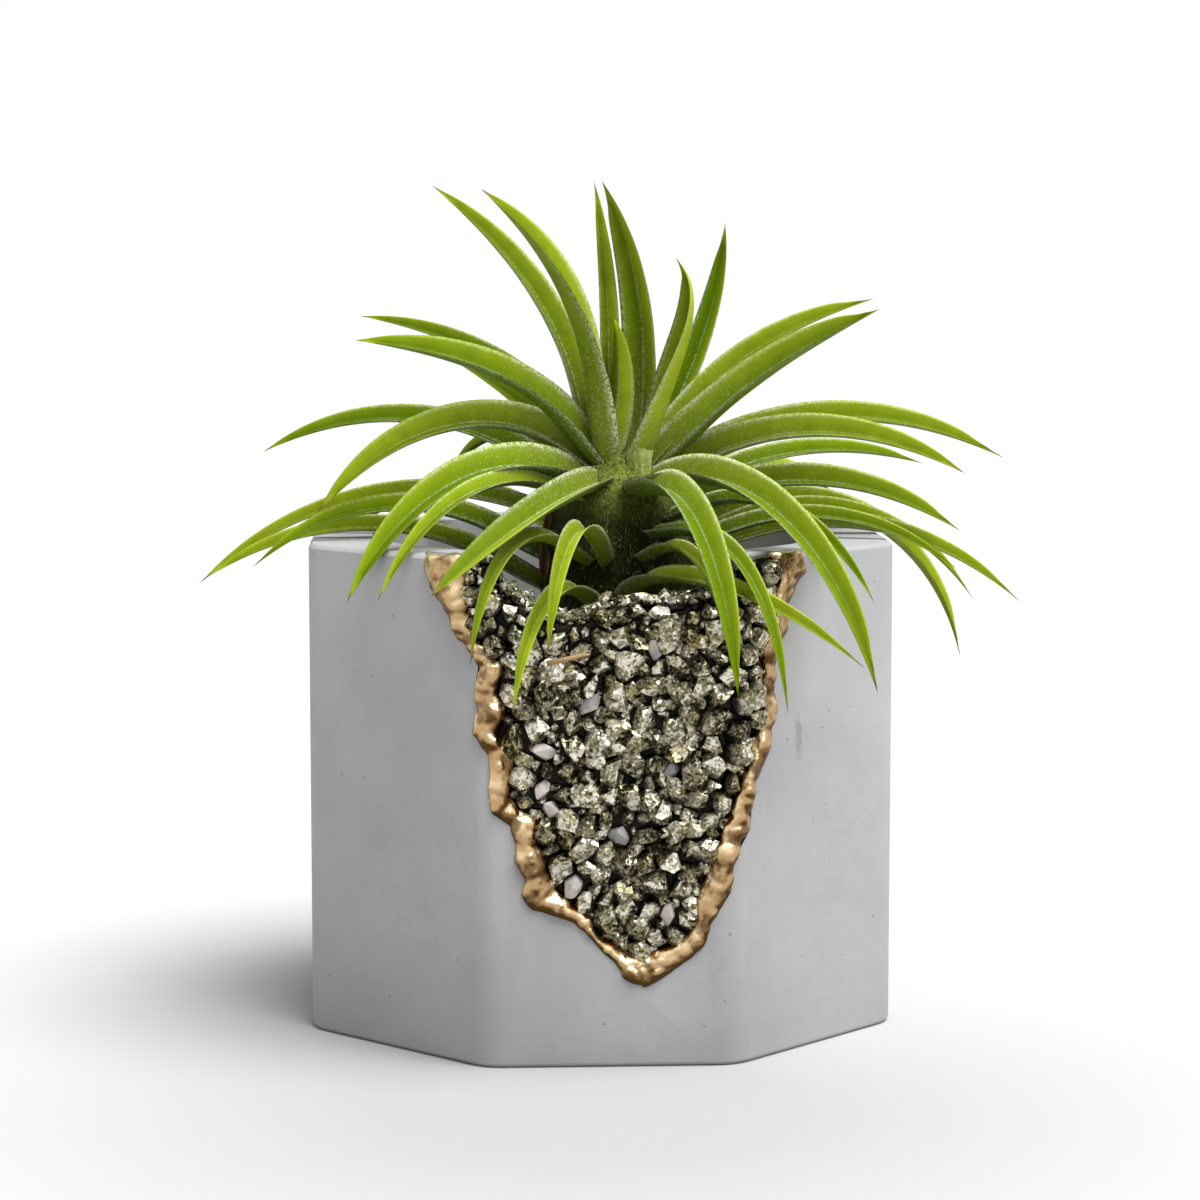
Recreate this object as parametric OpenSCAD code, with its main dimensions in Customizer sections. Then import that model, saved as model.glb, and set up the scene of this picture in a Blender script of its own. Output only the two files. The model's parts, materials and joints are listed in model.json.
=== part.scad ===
// Geode planter: a cast octagonal pot with a carved recess of crushed stone in its front,
// a gilded edge round the recess, and an air plant that lifts out of the round cavity.
// Millimetres, Z up, the pot stands on Z = 0 about the origin and its geode faces -Y.

/* [Pot] */
// Width of the pot from flat to flat
pot_w = 76; // [72:1:84]
// Height of the pot
pot_h = 63.5; // [58:0.5:72]
// Radius of the rounded upright edges
edge_r = 6; // [5:0.5:8]
// Thickness of the wall at the middle of a flat
wall_t = 8; // [7:0.5:9]
// Thickness of the floor under the cavity
floor_t = 12; // [8:0.5:16]
// Chamfer that eases the rim and the foot
ease = 0.5; // [0.3:0.1:1]

/* [Geode] */
// Width of the recess at the rim
recess_w = 46; // [40:1:50]
// Height of the recess from its lowest point to the rim
recess_h = 53.3; // [46:0.1:55]
// Depth of the recess below the faces
recess_depth = 4; // [3.5:0.1:4.5]
// Depth of the stones' resin bed below the faces
bed_depth = 1.6; // [1.2:0.1:2]
// Width of the dip in the rim
notch_w = 34; // [28:1:36]
// Depth of the dip in the concrete
notch_depth = 9.6; // [7:0.1:12]
// Thickness of the resin on the dip
lip_bed_t = 1.2; // [0.8:0.1:1.6]

/* [Stones] */
// Distance between the middles of two stones
stone_pitch = 2.9; // [2.6:0.1:3.6]
// Gap left round each stone
stone_gap = 0.3; // [0.2:0.05:0.5]
// How far the stones are set into the resin
stone_set = 0.4; // [0.2:0.1:0.8]
// Mean height of the stones above the resin
stone_rise = 1.4; // [0.8:0.1:2]

/* [Gilded edge] */
// Mean width of the gilded edge
gold_w = 2.6; // [2:0.1:3.2]
// How far its crest stands proud of the faces
gold_proud = 0.45; // [0.2:0.05:0.8]

/* [Plant] */
// Height of the crown above the rim
crown_rise = 10.5; // [8:0.5:14]
// Radius of the bulb at its widest
bulb_r = 10.2; // [9:0.1:12]
// Length of the bulb and its stem, down from the crown
bulb_h = 61.7; // [56:0.1:64]
// How far the plant's axis stands to the right of the pot's
plant_shift = 3; // [0:0.5:4]
// How far a full leaf reaches past half the pot's width
leaf_over = 12; // [8:0.5:16]
// Width of a full leaf
leaf_w = 4; // [3:0.1:4.4]
// How deep a leaf grows out of the bulb
leaf_root = 0.8; // [0.4:0.1:1.2]
// Length of the withered leaf
dry_len = 15; // [13:0.5:18]
// Radius of a root
root_r = 0.5; // [0.3:0.05:0.7]
// Gap under the plant, where it stands on the cavity's floor
seat_gap = 0.3; // [0.2:0.05:0.5]

/* [Hidden] */
// One overrun serves all cuts
over = 1;
// The stones keep this far inside the gilded edge
stone_margin = 0.05;
// The resin stays this far below the rim
rim_gap = 0.4;
// Sides of a root and rings along it
root_sides = 6;
root_rings = 9;
// Rings along a leaf
leaf_rings = 11;
// How far the leaves to the left and right roll their upper sides to the front, in degrees
leaf_roll = 50;
round_fn = 96;
// Flat steps round each upright edge
edge_steps = 4;

half_w = pot_w / 2;
cavity_r = half_w - wall_t;
corner_x = half_w * tan(22.5);
flat_half = corner_x - edge_r * tan(22.5);
arc_len = edge_r * PI / 4;
core_z = floor_t + seat_gap;
crown_z = pot_h + crown_rise;
leaf_len = half_w + leaf_over;

// Outline of the recess: across as a share of its width from the pot's middle,
// down as a share of its height from the rim. Left side from the rim to the lowest
// point, then the right side back up.
left_shares = [
    [-0.495, 0], [-0.487, 0.065], [-0.417, 0.16], [-0.357, 0.248], [-0.367, 0.313],
    [-0.35, 0.35], [-0.365, 0.403], [-0.33, 0.45], [-0.322, 0.51], [-0.33, 0.546],
    [-0.322, 0.59], [-0.27, 0.62], [-0.24, 0.698], [-0.224, 0.74], [-0.235, 0.78],
    [-0.209, 0.81], [-0.093, 0.846], [-0.026, 0.917], [0.017, 0.95], [0.035, 0.98], [0.089, 1]];
right_shares = [
    [0.14, 0.98], [0.222, 0.923], [0.257, 0.89], [0.265, 0.857], [0.322, 0.78],
    [0.33, 0.704], [0.376, 0.636], [0.383, 0.544], [0.43, 0.45], [0.446, 0.366],
    [0.446, 0.272], [0.443, 0.225], [0.478, 0.17], [0.483, 0.122], [0.53, 0.047], [0.526, 0]];
// Width of the gilded edge at each point of the outline, as a share of its mean width
left_gold_shares = [2, 1.7, 0.8, 1.2, 1, 1.2, 1, 1.1, 1, 1, 1.2, 1.1, 0.9, 0.9, 1.5, 1.2,
    0.5, 0.6, 0.8, 1.1, 1.3];
right_gold_shares = [1.2, 0.9, 1, 1.3, 1.5, 1.1, 1.1, 0.7, 0.9, 0.7, 0.6, 0.6, 0.9, 0.8, 1.3, 1.6];
// The dip in the rim: across as a share of its width, down as a share of its depth
notch_shares = [
    [-0.49, 0], [-0.45, 0.4], [-0.4, 0.6], [-0.35, 0.7], [-0.29, 0.9], [-0.23, 0.96],
    [-0.15, 1], [-0.1, 1], [-0.06, 0.88], [0, 0.8], [0.23, 0.78], [0.34, 0.74], [0.46, 0.45],
    [0.51, 0]];
// The pale stones: across as a share of the recess's width, down as a share of its height
quartz_shares = [
    [-0.19, 0.585], [-0.18, 0.545], [0.022, 0.636], [0.152, 0.824], [0.178, 0.48],
    [-0.17, 0.433], [-0.08, 0.345], [-0.12, 0.745]];
// Where the gilding of the dip's back edge starts and ends, as shares of the dip's width
lip_gold_shares = [-0.05, 0.36];

// Bulb and stem: height up to the crown as a share of their length, radius as a share of the bulb's
core_shares = [
    [0, 0.25], [0.25, 0.4], [0.45, 0.64], [0.62, 0.9], [0.72, 1], [0.82, 1], [0.9, 0.84],
    [0.96, 0.55], [1, 0.2]];

// The leaves: name, bearing in degrees (0 is to the right, -90 to the front), height on
// bulb and stem as a share of their length, climb at the base and at the tip in degrees, how late
// the leaf bends, length and width as shares of a full leaf, and how far it turns sideways.
leaf_shares = [
    ["crown_leaf_1", 176, 0.97, 96, 33, 0.8, 0.9, 0.85, 0],
    ["crown_leaf_2", -126, 0.98, 91, 33, 1.1, 0.85, 0.95, -50],
    ["crown_leaf_3", 128, 0.98, 100, 75, 0.9, 0.76, 0.6, 0],
    ["crown_leaf_4", 24, 0.99, 80, 118, 1.2, 0.76, 1, 0],
    ["crown_leaf_5", 190, 1, 110, 74, 1, 0.37, 0.8, 0],
    ["crown_leaf_6", -54, 0.98, 66, 136, 5.8, 0.59, 0.85, 50],
    ["crown_leaf_7", 32, 0.97, 58, 86, 2, 0.72, 0.75, 0],
    ["crown_leaf_8", -18, 0.97, 48, 18, 1.2, 0.77, 1, 0],
    ["crown_leaf_9", 3, 0.97, 66, 10, 0.9, 0.79, 0.75, 0],
    ["crown_leaf_10", 32, 0.96, 60, 4, 1, 0.68, 0.5, 0],
    ["right_leaf_1", 6, 0.95, 37, -32, 1, 1.02, 0.8, 0],
    ["right_leaf_2", -12, 0.95, 37, -34, 1, 0.87, 0.85, 0],
    ["right_leaf_3", 24, 0.9, 30, -20, 1, 0.84, 0.6, 0],
    ["right_leaf_4", -5, 0.89, 28, -38, 1, 0.8, 0.8, 0],
    ["right_leaf_5", 17, 0.82, 36, -84, 1, 1.1, 0.7, 0],
    ["right_leaf_6", -3, 0.78, 30, -46, 1, 0.97, 0.6, 0],
    ["right_leaf_7", 12, 0.79, 38, -60, 1, 0.96, 0.5, 0],
    ["right_leaf_8", -18, 0.8, 34, -40, 1, 0.78, 0.5, 0],
    ["front_leaf_1", -58, 0.95, 22, -74, 0.95, 1.16, 0.95, 8],
    ["front_leaf_2", -50, 0.86, 33, -56, 1, 0.85, 0.5, 0],
    ["front_leaf_3", -90, 0.69, 29, -42, 1.1, 1.06, 0.6, 74],
    ["front_leaf_4", -76, 0.933, 19, -80, 1.1, 1.1, 0.9, 0],
    ["front_leaf_5", -69, 0.84, 12, -80, 1.6, 1.06, 0.5, -4],
    ["front_leaf_6", -77, 0.78, 21, -80, 1.6, 0.9, 0.45, 4],
    ["front_leaf_7", -107, 0.67, 26, -75, 1.6, 0.92, 0.55, -5],
    ["front_leaf_8", -104, 0.76, 48, -78, 1.1, 0.86, 0.6, -2],
    ["front_leaf_9", -116, 0.77, 28, -80, 1.6, 0.93, 0.5, 2],
    ["front_leaf_10", -115, 0.965, -2, -18, 0.7, 1.13, 0.85, 0],
    ["left_leaf_1", -141, 0.95, 34, -60, 0.8, 0.95, 0.95, 0],
    ["left_leaf_2", -134, 0.9, 40, -58, 0.8, 0.88, 0.55, 0],
    ["left_leaf_3", 178, 0.86, 32, -44, 0.8, 1.04, 0.55, 0],
    ["left_leaf_4", 188, 0.69, 45, -37, 1, 1.02, 0.6, 0],
    ["left_leaf_5", 194, 0.76, 47, -44, 1, 0.9, 0.65, 0],
    ["left_leaf_6", 172, 0.93, 44, -32, 1, 0.91, 0.7, 0],
    ["left_leaf_7", -165, 0.97, 72, -54, 0.6, 0.88, 0.95, 0],
    ["left_leaf_8", -150, 0.98, 80, 0, 0.5, 0.8, 0.95, -22],
    ["left_leaf_9", 165, 0.97, 80, 4, 0.6, 0.8, 0.65, 0],
    ["left_leaf_10", 155, 0.95, 58, 20, 1, 0.5, 0.6, 0],
    ["left_leaf_11", 150, 0.93, 62, -84, 1.2, 0.54, 0.5, 0],
    ["back_leaf_1", 48, 0.84, 38, -35, 1, 0.9, 0.8, 0],
    ["back_leaf_2", 66, 0.8, 38, -40, 1, 0.95, 0.7, 0],
    ["back_leaf_3", 82, 0.9, 48, -30, 1, 0.85, 0.85, 0],
    ["back_leaf_4", 100, 0.8, 38, -38, 1, 0.95, 0.7, 0],
    ["back_leaf_5", 118, 0.86, 42, -40, 1, 0.9, 0.75, 0],
    ["back_leaf_6", 136, 0.8, 38, -42, 1, 0.92, 0.6, 0]];
// Width along a leaf, as shares of its length and of its width
leaf_width_shares = [[0, 0.55], [0.1, 0.8], [0.25, 1], [0.5, 0.93], [0.75, 0.62], [0.9, 0.3], [1, 0]];
// Section of a leaf, an open channel: across and up as shares of its width
leaf_section_shares = [
    [-0.5, 0.22], [-0.24, -0.12], [0.24, -0.12], [0.5, 0.22], [0.13, 0.1], [-0.13, 0.1]];
// The roots: bearing in degrees, length as a share of the cavity's radius
root_shares = [[10, 0.4], [60, 0.3], [115, 0.42], [170, 0.34], [215, 0.44], [265, 0.32], [320, 0.4]];

stone_nodes = ["pyrite_upper", "pyrite_middle", "pyrite_lower", "pyrite_lip", "quartz_stones"];

// A repeatable share from 0 to 1 for any two numbers
function chance(a, b) = let (v = sin(a * 127.1 + b * 311.7) * 4375.8) v - floor(v);

function recess_point(share) = [share[0] * recess_w, pot_h - share[1] * recess_h];
function notch_point(share, lift) = [share[0] * notch_w, pot_h - share[1] * notch_depth + lift];
function left_edge() = [for (s = left_shares) recess_point(s)];
function right_edge() = [for (s = right_shares) recess_point(s)];

// Left and right limit of the recess at a height, and the dip's floor at a place across
left_table = [for (i = [len(left_shares) - 1:-1:0]) let (p = recess_point(left_shares[i])) [p[1], p[0]]];
right_table = [for (s = right_shares) let (p = recess_point(s)) [p[1], p[0]]];
left_gold_table = [for (i = [len(left_shares) - 1:-1:0])
    [recess_point(left_shares[i])[1], left_gold_shares[i] * gold_w]];
right_gold_table = [for (i = [0:len(right_shares) - 1])
    [recess_point(right_shares[i])[1], right_gold_shares[i] * gold_w]];
notch_table = [for (s = notch_shares) notch_point(s, 0)];
notch_left = notch_table[0][0];
notch_right = notch_table[len(notch_table) - 1][0];
function dip_z(x) = x < notch_left || x > notch_right ? pot_h : lookup(x, notch_table);

// Place on the rounded octagon, a length s round from the front's middle and d inwards
function face_xy(s, d) =
    let (m = abs(s), side = sign(s), r = edge_r - d)
    m <= flat_half ? [s, d - half_w]
    : m <= flat_half + arc_len ?
        let (t = (m - flat_half) / edge_r * 180 / PI)
        [side * (flat_half + r * sin(t)), edge_r - half_w - r * cos(t)]
    : let (q = m - flat_half - arc_len)
        [side * (flat_half + (r + q) * cos(45)), edge_r - half_w - (r - q) * cos(45)];
// The same face's Y at a place across, d inwards
function face_y(x, d) =
    let (m = abs(x) - flat_half, r = edge_r - d)
    m <= 0 ? d - half_w
    : m <= r * sin(45) ? edge_r - half_w - sqrt(r * r - m * m)
    : edge_r - half_w - (r * sqrt(2) - m);

// An upright octagon with rounded edges, its flats moved in by inset
function octagon_ring(inset, z) =
    let (r = edge_r - inset)
    [for (k = [7:-1:0], a = [edge_steps:-1:0])
        let (n = 45 * (k + a / edge_steps) - 90, turn = 45 * k, y = edge_r - half_w)
        [flat_half * cos(turn) - y * sin(turn) + r * cos(n),
         flat_half * sin(turn) + y * cos(turn) + r * sin(n), z]];
module octagon_prism(inset, z0, z1, chamfer) {
    skin([
        octagon_ring(inset + chamfer, z0),
        octagon_ring(inset, z0 + chamfer),
        octagon_ring(inset, z1 - chamfer),
        octagon_ring(inset + chamfer, z1)]);
}
// The same with square ends
module plain_octagon(inset, z0, z1) {
    skin([octagon_ring(inset, z0), octagon_ring(inset, z1)]);
}

// Shapes of the front, drawn in X and Z and run back from the face
module from_front(depth) {
    translate([0, depth - half_w, 0])
        rotate([90, 0, 0])
            linear_extrude(depth + over)
                children();
}
module recess_shape() {
    first = recess_point(left_shares[0]);
    last = recess_point(right_shares[len(right_shares) - 1]);
    polygon(concat(
        [[first[0], pot_h + over]], left_edge(), right_edge(), [[last[0], pot_h + over]]));
}
module notch_shape(lift) {
    polygon(concat(
        [[notch_left, pot_h + over + lip_bed_t]],
        [for (s = notch_shares) notch_point(s, lift)],
        [[notch_right, pot_h + over + lip_bed_t]]));
}

module pot() {
    color("darkgray")
        difference() {
            octagon_prism(0, 0, pot_h, ease);
            translate([0, 0, floor_t])
                cylinder(h = pot_h, r = cavity_r, $fn = round_fn);
            difference() {
                from_front(half_w - corner_x) recess_shape();
                plain_octagon(recess_depth, -over, pot_h + 2 * over);
            }
            from_front(half_w) notch_shape(0);
        }
}

module resin_bed() {
    top = pot_h - rim_gap;
    color([0.07, 0.06, 0.05])
        difference() {
            intersection() {
                plain_octagon(bed_depth, 0, top);
                union() {
                    difference() {
                        from_front(half_w - corner_x) recess_shape();
                        plain_octagon(recess_depth, -over, top + 2 * over);
                    }
                    from_front(half_w) difference() {
                        notch_shape(0);
                        notch_shape(lip_bed_t);
                    }
                }
            }
            cylinder(h = pot_h + over, r = cavity_r, $fn = round_fn);
            from_front(half_w) notch_shape(lip_bed_t);
        }
}

// Middle of the stone in column i and row j of a staggered grid, moved about by chance
function stone_site(i, j) = [
    stone_pitch * (i + (j % 2 == 0 ? 0 : 0.5) + 0.6 * (chance(i, j) - 0.5)),
    stone_pitch * (j * sin(60) + 0.6 * (chance(j + 7, i + 3) - 0.5))];
// A stone of small weight pushes its corners further out and is a large one
function stone_weight(i, j) = 0.6 + 0.9 * chance(3 * i + 1, 5 * j + 2);
// Its six neighbours in turn
function stone_neighbours(i, j) = let (e = j % 2 == 0 ? 0 : 1) [
    [i + 1, j], [i + e, j + 1], [i - 1 + e, j + 1],
    [i - 1, j], [i - 1 + e, j - 1], [i + e, j - 1]];
// Its corners, where three stones would meet, drawn back by the gap
function stone_corners(i, j) =
    let (c = stone_site(i, j), n = stone_neighbours(i, j), w = stone_weight(i, j))
    [for (k = [0:5])
        let (
            a = n[k],
            b = n[(k + 1) % 6],
            wa = stone_weight(a[0], a[1]),
            wb = stone_weight(b[0], b[1]),
            meet = w * c + wa * stone_site(a[0], a[1]) + wb * stone_site(b[0], b[1]),
            v = meet / (w + wa + wb),
            d = norm(v - c))
        c + (v - c) * (d - stone_gap) / d];

// A stone: a foot ring in the resin, a smaller tilted ring above it and a peak
module stone(i, j, on_lip) {
    c = stone_site(i, j);
    ring = stone_corners(i, j);
    tilt = 360 * chance(i + 11, j + 5);
    rise = stone_rise * (0.8 + 0.5 * chance(i + 2, j + 9));
    shrink = 0.55 + 0.3 * chance(i + 4, j + 1);
    heights = [for (k = [0:5])
        rise * (0.72 + 0.22 * cos(k * 60 - tilt) + 0.1 * chance(i + k, j + 2 * k))];
    foot = [for (p = ring) stone_place(p, -stone_set, on_lip)];
    head = [for (k = [0:5])
        stone_place(c + (ring[k] - c) * (shrink + 0.15 * chance(k, i + j)), heights[k], on_lip)];
    middles = [
        stone_place(c, -stone_set, on_lip),
        stone_place(c + 0.3 * shrink * (ring[1] - c), rise, on_lip)];
    polyhedron(
        points = concat(foot, head, middles),
        faces = concat(
            [for (k = [0:5]) [k, (k + 1) % 6, 12]],
            [for (k = [0:5]) [(k + 1) % 6, k, 6 + k]],
            [for (k = [0:5]) [(k + 1) % 6, 6 + k, 6 + (k + 1) % 6]],
            [for (k = [0:5]) [6 + (k + 1) % 6, 6 + k, 13]]));
}
// On the front a stone's grid runs round the faces and up, on the lip across and back
function stone_place(p, h, on_lip) = on_lip
    ? [p[0], face_y(0, bed_depth) + p[1], dip_z(p[0]) + lip_bed_t + h]
    : let (q = face_xy(p[0], bed_depth - h)) [q[0], q[1], p[1]];

// Whether the front's grid has a stone here, and of what kind
function stone_fits(i, j) =
    let (
        c = stone_site(i, j),
        x = face_xy(c[0], 0)[0],
        z = c[1],
        keep = stone_margin + stone_pitch / 2)
    z > right_table[0][0] + keep
    && x > lookup(z, left_table) + lookup(z, left_gold_table) + keep
    && x < lookup(z, right_table) - lookup(z, right_gold_table) - keep
    && z < min(dip_z(x), dip_z(x - keep), dip_z(x + keep)) + lip_bed_t - keep;
function is_quartz(i, j) =
    let (c = stone_site(i, j), x = face_xy(c[0], 0)[0])
    min([for (s = quartz_shares) norm([x, c[1]] - recess_point(s))]) < stone_pitch * 0.5;
function stone_kind(i, j) =
    let (down = (pot_h - stone_site(i, j)[1]) / recess_h)
    is_quartz(i, j) ? 4 : down < 0.33 ? 0 : down < 0.62 ? 1 : 2;
// Whether the lip's grid has a stone here
function lip_fits(i, j) =
    let (c = stone_site(i, j), y = face_y(0, bed_depth) + c[1], keep = stone_pitch * 0.6)
    c[1] > keep / 2 && c[0] > notch_left + 2 * keep && c[0] < notch_right - 2 * keep
    && norm([c[0], y]) > cavity_r + keep
    && (c[0] < lip_gold_shares[0] * notch_w - keep || c[0] > lip_gold_shares[1] * notch_w + keep
        || norm([c[0], y]) > cavity_r + gold_w / 2 + 1.2 * keep);

stone_columns = ceil(recess_w / stone_pitch);
stone_rows = ceil(pot_h / stone_pitch / sin(60));
module stones(kind) {
    for (i = [-stone_columns:stone_columns], j = [0:stone_rows])
        if (stone_fits(i, j) && stone_kind(i, j) == kind)
            stone(i, j, false);
}
module lip_stones() {
    for (i = [-stone_columns:stone_columns], j = [0:ceil(wall_t / stone_pitch)])
        if (lip_fits(i, j))
            stone(i, j, true);
}

// The gilded edge: sections along the outline, each running inwards from it
outline = concat(left_edge(), right_edge());
outline_gold = concat(left_gold_shares, right_gold_shares) * gold_w;
tip_first = 15;
tip_last = 23;
focus = recess_point([0.08, 0.5]);
function inward(p) = let (v = [focus[0] - p[0], 0.8 * max(0, focus[1] - p[1])]) v / norm(v);
// A station every half step along the outline
function gold_station(t) =
    let (i = floor(t), f = t - i, k = min(i + 1, len(outline) - 1))
    [outline[i] * (1 - f) + outline[k] * f, outline_gold[i] * (1 - f) + outline_gold[k] * f];
// The section: inwards as a share of the width, and depth from the face in lengths
function gold_section(t) =
    let (
        s = gold_station(t),
        p = s[0],
        n = inward(p),
        w = s[1],
        proud = gold_proud * (0.5 + 0.9 * chance(2 * t, 3)),
        across_shares = [0, 0, 0.3 + 0.15 * chance(t, 8), 0.75, 1, 1],
        depths = [bed_depth, -0.4 * proud, -proud, 0.1 * bed_depth, 0.6 * bed_depth, bed_depth])
    [for (k = [0:5])
        let (q = p + n * w * across_shares[k])
        [q[0], face_y(q[0], depths[k]), q[1]]];
module gold_band(first, last) {
    steps = 2 * (last - first);
    skin([for (k = [0:steps]) gold_section(first + k / 2)]);
}
// A closed solid through rings of the same number of points
module skin(rings) {
    n = len(rings[0]);
    m = len(rings);
    polyhedron(
        points = [for (r = rings) each r],
        faces = concat(
            [[for (k = [n - 1:-1:0]) k]],
            [for (i = [0:m - 2], k = [0:n - 1]) let (a = i * n, b = a + n, e = (k + 1) % n)
                each [[a + k, b + e, b + k], [a + k, a + e, b + e]]],
            [[for (k = [0:n - 1]) (m - 1) * n + k]]));
}
module gold_left() { color("goldenrod") gold_band(0, tip_first); }
module gold_tip() { color("goldenrod") gold_band(tip_first, tip_last); }
module gold_right() { color("goldenrod") gold_band(tip_last, len(outline) - 1); }

// Gilding along the back of the dip, on the resin beside the cavity
module gold_lip() {
    w = gold_w / 2;
    x0 = lip_gold_shares[0] * notch_w;
    x1 = lip_gold_shares[1] * notch_w;
    steps = 12;
    color("goldenrod")
        skin([for (k = [0:steps])
            let (
                x = x0 + (x1 - x0) * k / steps,
                r = cavity_r + w * (0.75 + 0.3 * chance(k, 1)),
                y = -sqrt(r * r - x * x),
                z = dip_z(x) + lip_bed_t,
                h = stone_rise * (0.7 + 0.5 * chance(k, 5)) * (k == 0 || k == steps ? 0.5 : 1))
            [[x, y - w / 2, z], [x, y - w / 2, z + h / 2], [x, y - w / 6, z + h],
             [x, y + w / 4, z + h], [x, y + w / 2, z + h / 2], [x, y + w / 2, z]]]);
}

function core_radius(share) = bulb_r * lookup(share, core_shares);
function core_height(share) = share == 0 ? core_z : crown_z - (1 - share) * bulb_h;
module plant_core() {
    color("darkolivegreen")
        translate([plant_shift, 0, 0])
            rotate_extrude($fn = round_fn)
                polygon(concat(
                    [[0, core_z]],
                    [for (s = core_shares) [s[1] * bulb_r, core_height(s[0])]],
                    [[0, crown_z]]));
}

// Wiry roots that leave the stem's foot and lie along the cavity's floor
module roots() {
    reach0 = core_radius(0) - 2 * root_r;
    color("saddlebrown")
        for (row = root_shares)
            translate([plant_shift, 0, core_z])
                rotate([0, 0, row[0]])
                    skin([for (k = [0:root_rings - 1])
                        let (
                            s = k / (root_rings - 1),
                            x = reach0 + s * row[1] * cavity_r,
                            y = 2 * root_r * sin(s * 360) * (1 + row[1]),
                            z = root_r + 4 * root_r * (1 - s) * (1 - s),
                            r = root_r * (1 - 0.6 * s))
                        [for (a = [0:root_sides - 1])
                            [x, y + r * cos(-a * 360 / root_sides),
                             z + r * sin(-a * 360 / root_sides)]]]);
}

// Middle of a leaf after k steps: it climbs, bends over and may turn as it goes
function leaf_steps(row, n) = [for (k = [0:n - 1])
    let (
        s = (k + 0.5) / n,
        climb = row[3] + (row[4] - row[3]) * pow(s, row[5]),
        bearing = row[1] + row[8] * s)
    leaf_len * row[6] / n * [cos(climb) * cos(bearing), cos(climb) * sin(bearing), sin(climb)]];
function leaf_path(row, n) =
    let (
        r = core_radius(row[2]) - leaf_root,
        start = [plant_shift + r * cos(row[1]), r * sin(row[1]), core_height(row[2])],
        steps = leaf_steps(row, n))
    [for (k = 0, p = start; k <= n; p = p + (k < n ? steps[k] : [0, 0, 0]), k = k + 1) p];
module leaf(row) {
    n = leaf_rings;
    path = leaf_path(row, n);
    rings = [for (k = [0:n - 1])
        let (
            s = k / n,
            a = path[max(k - 1, 0)],
            b = path[k + 1],
            t = (b - a) / norm(b - a),
            bearing = row[1] + row[8] * s,
            level = [-sin(bearing), cos(bearing), 0],
            lift = cross(t, level),
            roll = leaf_roll * cos(bearing),
            side = level * cos(roll) + lift * sin(roll),
            up = lift * cos(roll) - level * sin(roll),
            w = leaf_w * row[7] * lookup(s, leaf_width_shares))
        [for (q = leaf_section_shares) path[k] + w * (q[0] * side + q[1] * up)]];
    m = len(leaf_section_shares);
    last = (n - 1) * m;
    color(row[7] > 0.7 ? "olivedrab" : "yellowgreen")
        polyhedron(
            points = concat([for (r = rings) each r], [path[n]]),
            faces = concat(
                [[0, 1, 5], [1, 4, 5], [1, 2, 4], [2, 3, 4]],
                [for (i = [0:n - 2], k = [0:m - 1]) let (p = i * m, q = p + m, e = (k + 1) % m)
                    each [[p + k, q + k, q + e], [p + k, q + e, p + e]]],
                [for (k = [0:m - 1]) [last + k, n * m, last + (k + 1) % m]]));
}
// A withered leaf that clings to the front of the bulb
module dry_leaf() {
    leaf_row = ["dry_leaf", -160, 0.93, -10, -95, 0.4, dry_len / leaf_len, 0.45, 25];
    color("peru") leaf(leaf_row);
}

pot();
resin_bed();
color("darkkhaki") stones(0);  // pyrite_upper
color("darkkhaki") stones(1);  // pyrite_middle
color("darkkhaki") stones(2);  // pyrite_lower
color("darkkhaki") lip_stones();  // pyrite_lip
color("whitesmoke") stones(4);  // quartz_stones
gold_left();
gold_tip();
gold_right();
gold_lip();
plant_core();
roots();
dry_leaf();
for (row = leaf_shares)
    leaf(row);
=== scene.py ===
"""The looks of a geode planter: cast concrete, crushed stone in a gilded recess, and an air plant.

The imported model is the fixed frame, in metres, with Z up and the geode facing -Y. Every piece made
here takes its place from that model, rides on one of its two bodies, pot and plant, and stands for
the solids that it replaces.
"""
import json
import math
import random

import bmesh
import bpy
from mathutils import Euler, Matrix, Vector, noise
from mathutils.bvhtree import BVHTree


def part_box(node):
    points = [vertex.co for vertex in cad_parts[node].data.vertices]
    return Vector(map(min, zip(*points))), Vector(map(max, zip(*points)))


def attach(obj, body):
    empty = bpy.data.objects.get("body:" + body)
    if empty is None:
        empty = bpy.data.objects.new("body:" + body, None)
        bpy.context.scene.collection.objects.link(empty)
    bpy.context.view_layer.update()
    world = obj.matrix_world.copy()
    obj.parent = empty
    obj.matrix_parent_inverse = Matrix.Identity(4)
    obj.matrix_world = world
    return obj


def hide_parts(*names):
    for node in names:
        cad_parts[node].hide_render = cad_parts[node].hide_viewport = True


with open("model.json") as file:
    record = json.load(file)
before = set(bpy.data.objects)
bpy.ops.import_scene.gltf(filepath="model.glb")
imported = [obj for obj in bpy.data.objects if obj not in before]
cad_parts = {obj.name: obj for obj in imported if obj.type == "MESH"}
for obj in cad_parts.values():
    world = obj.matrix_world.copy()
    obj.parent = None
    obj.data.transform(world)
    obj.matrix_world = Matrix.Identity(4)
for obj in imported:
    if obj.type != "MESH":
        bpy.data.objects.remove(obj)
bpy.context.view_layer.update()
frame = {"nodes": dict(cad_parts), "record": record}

bl_info = {
    "name": "Geode planter",
    "version": (1, 0, 0),
    "blender": (4, 5, 0),
    "location": "3D View > Sidebar > Planter",
    "description": "Builds the finish of a concrete planter with a geode recess and an air plant",
    "category": "Object",
}

MM = 0.001
# Two corners of the model's loose triangles this close are one
MERGE = 1e-6
LEAF_NODES = [name for name in frame["nodes"] if "_leaf_" in name]
YOUNG_NODES = [
    row["node"] for row in frame["record"]["subparts"] if row["material_slot"] == "young_leaf"]
FRONT = Vector((0, 1, 0))
DOWN = Vector((0, 0, -1))


def colour(name, description, default):
    return bpy.props.FloatVectorProperty(
        name=name, description=description, subtype="COLOR", size=3, min=0, max=1, default=default)


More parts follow.
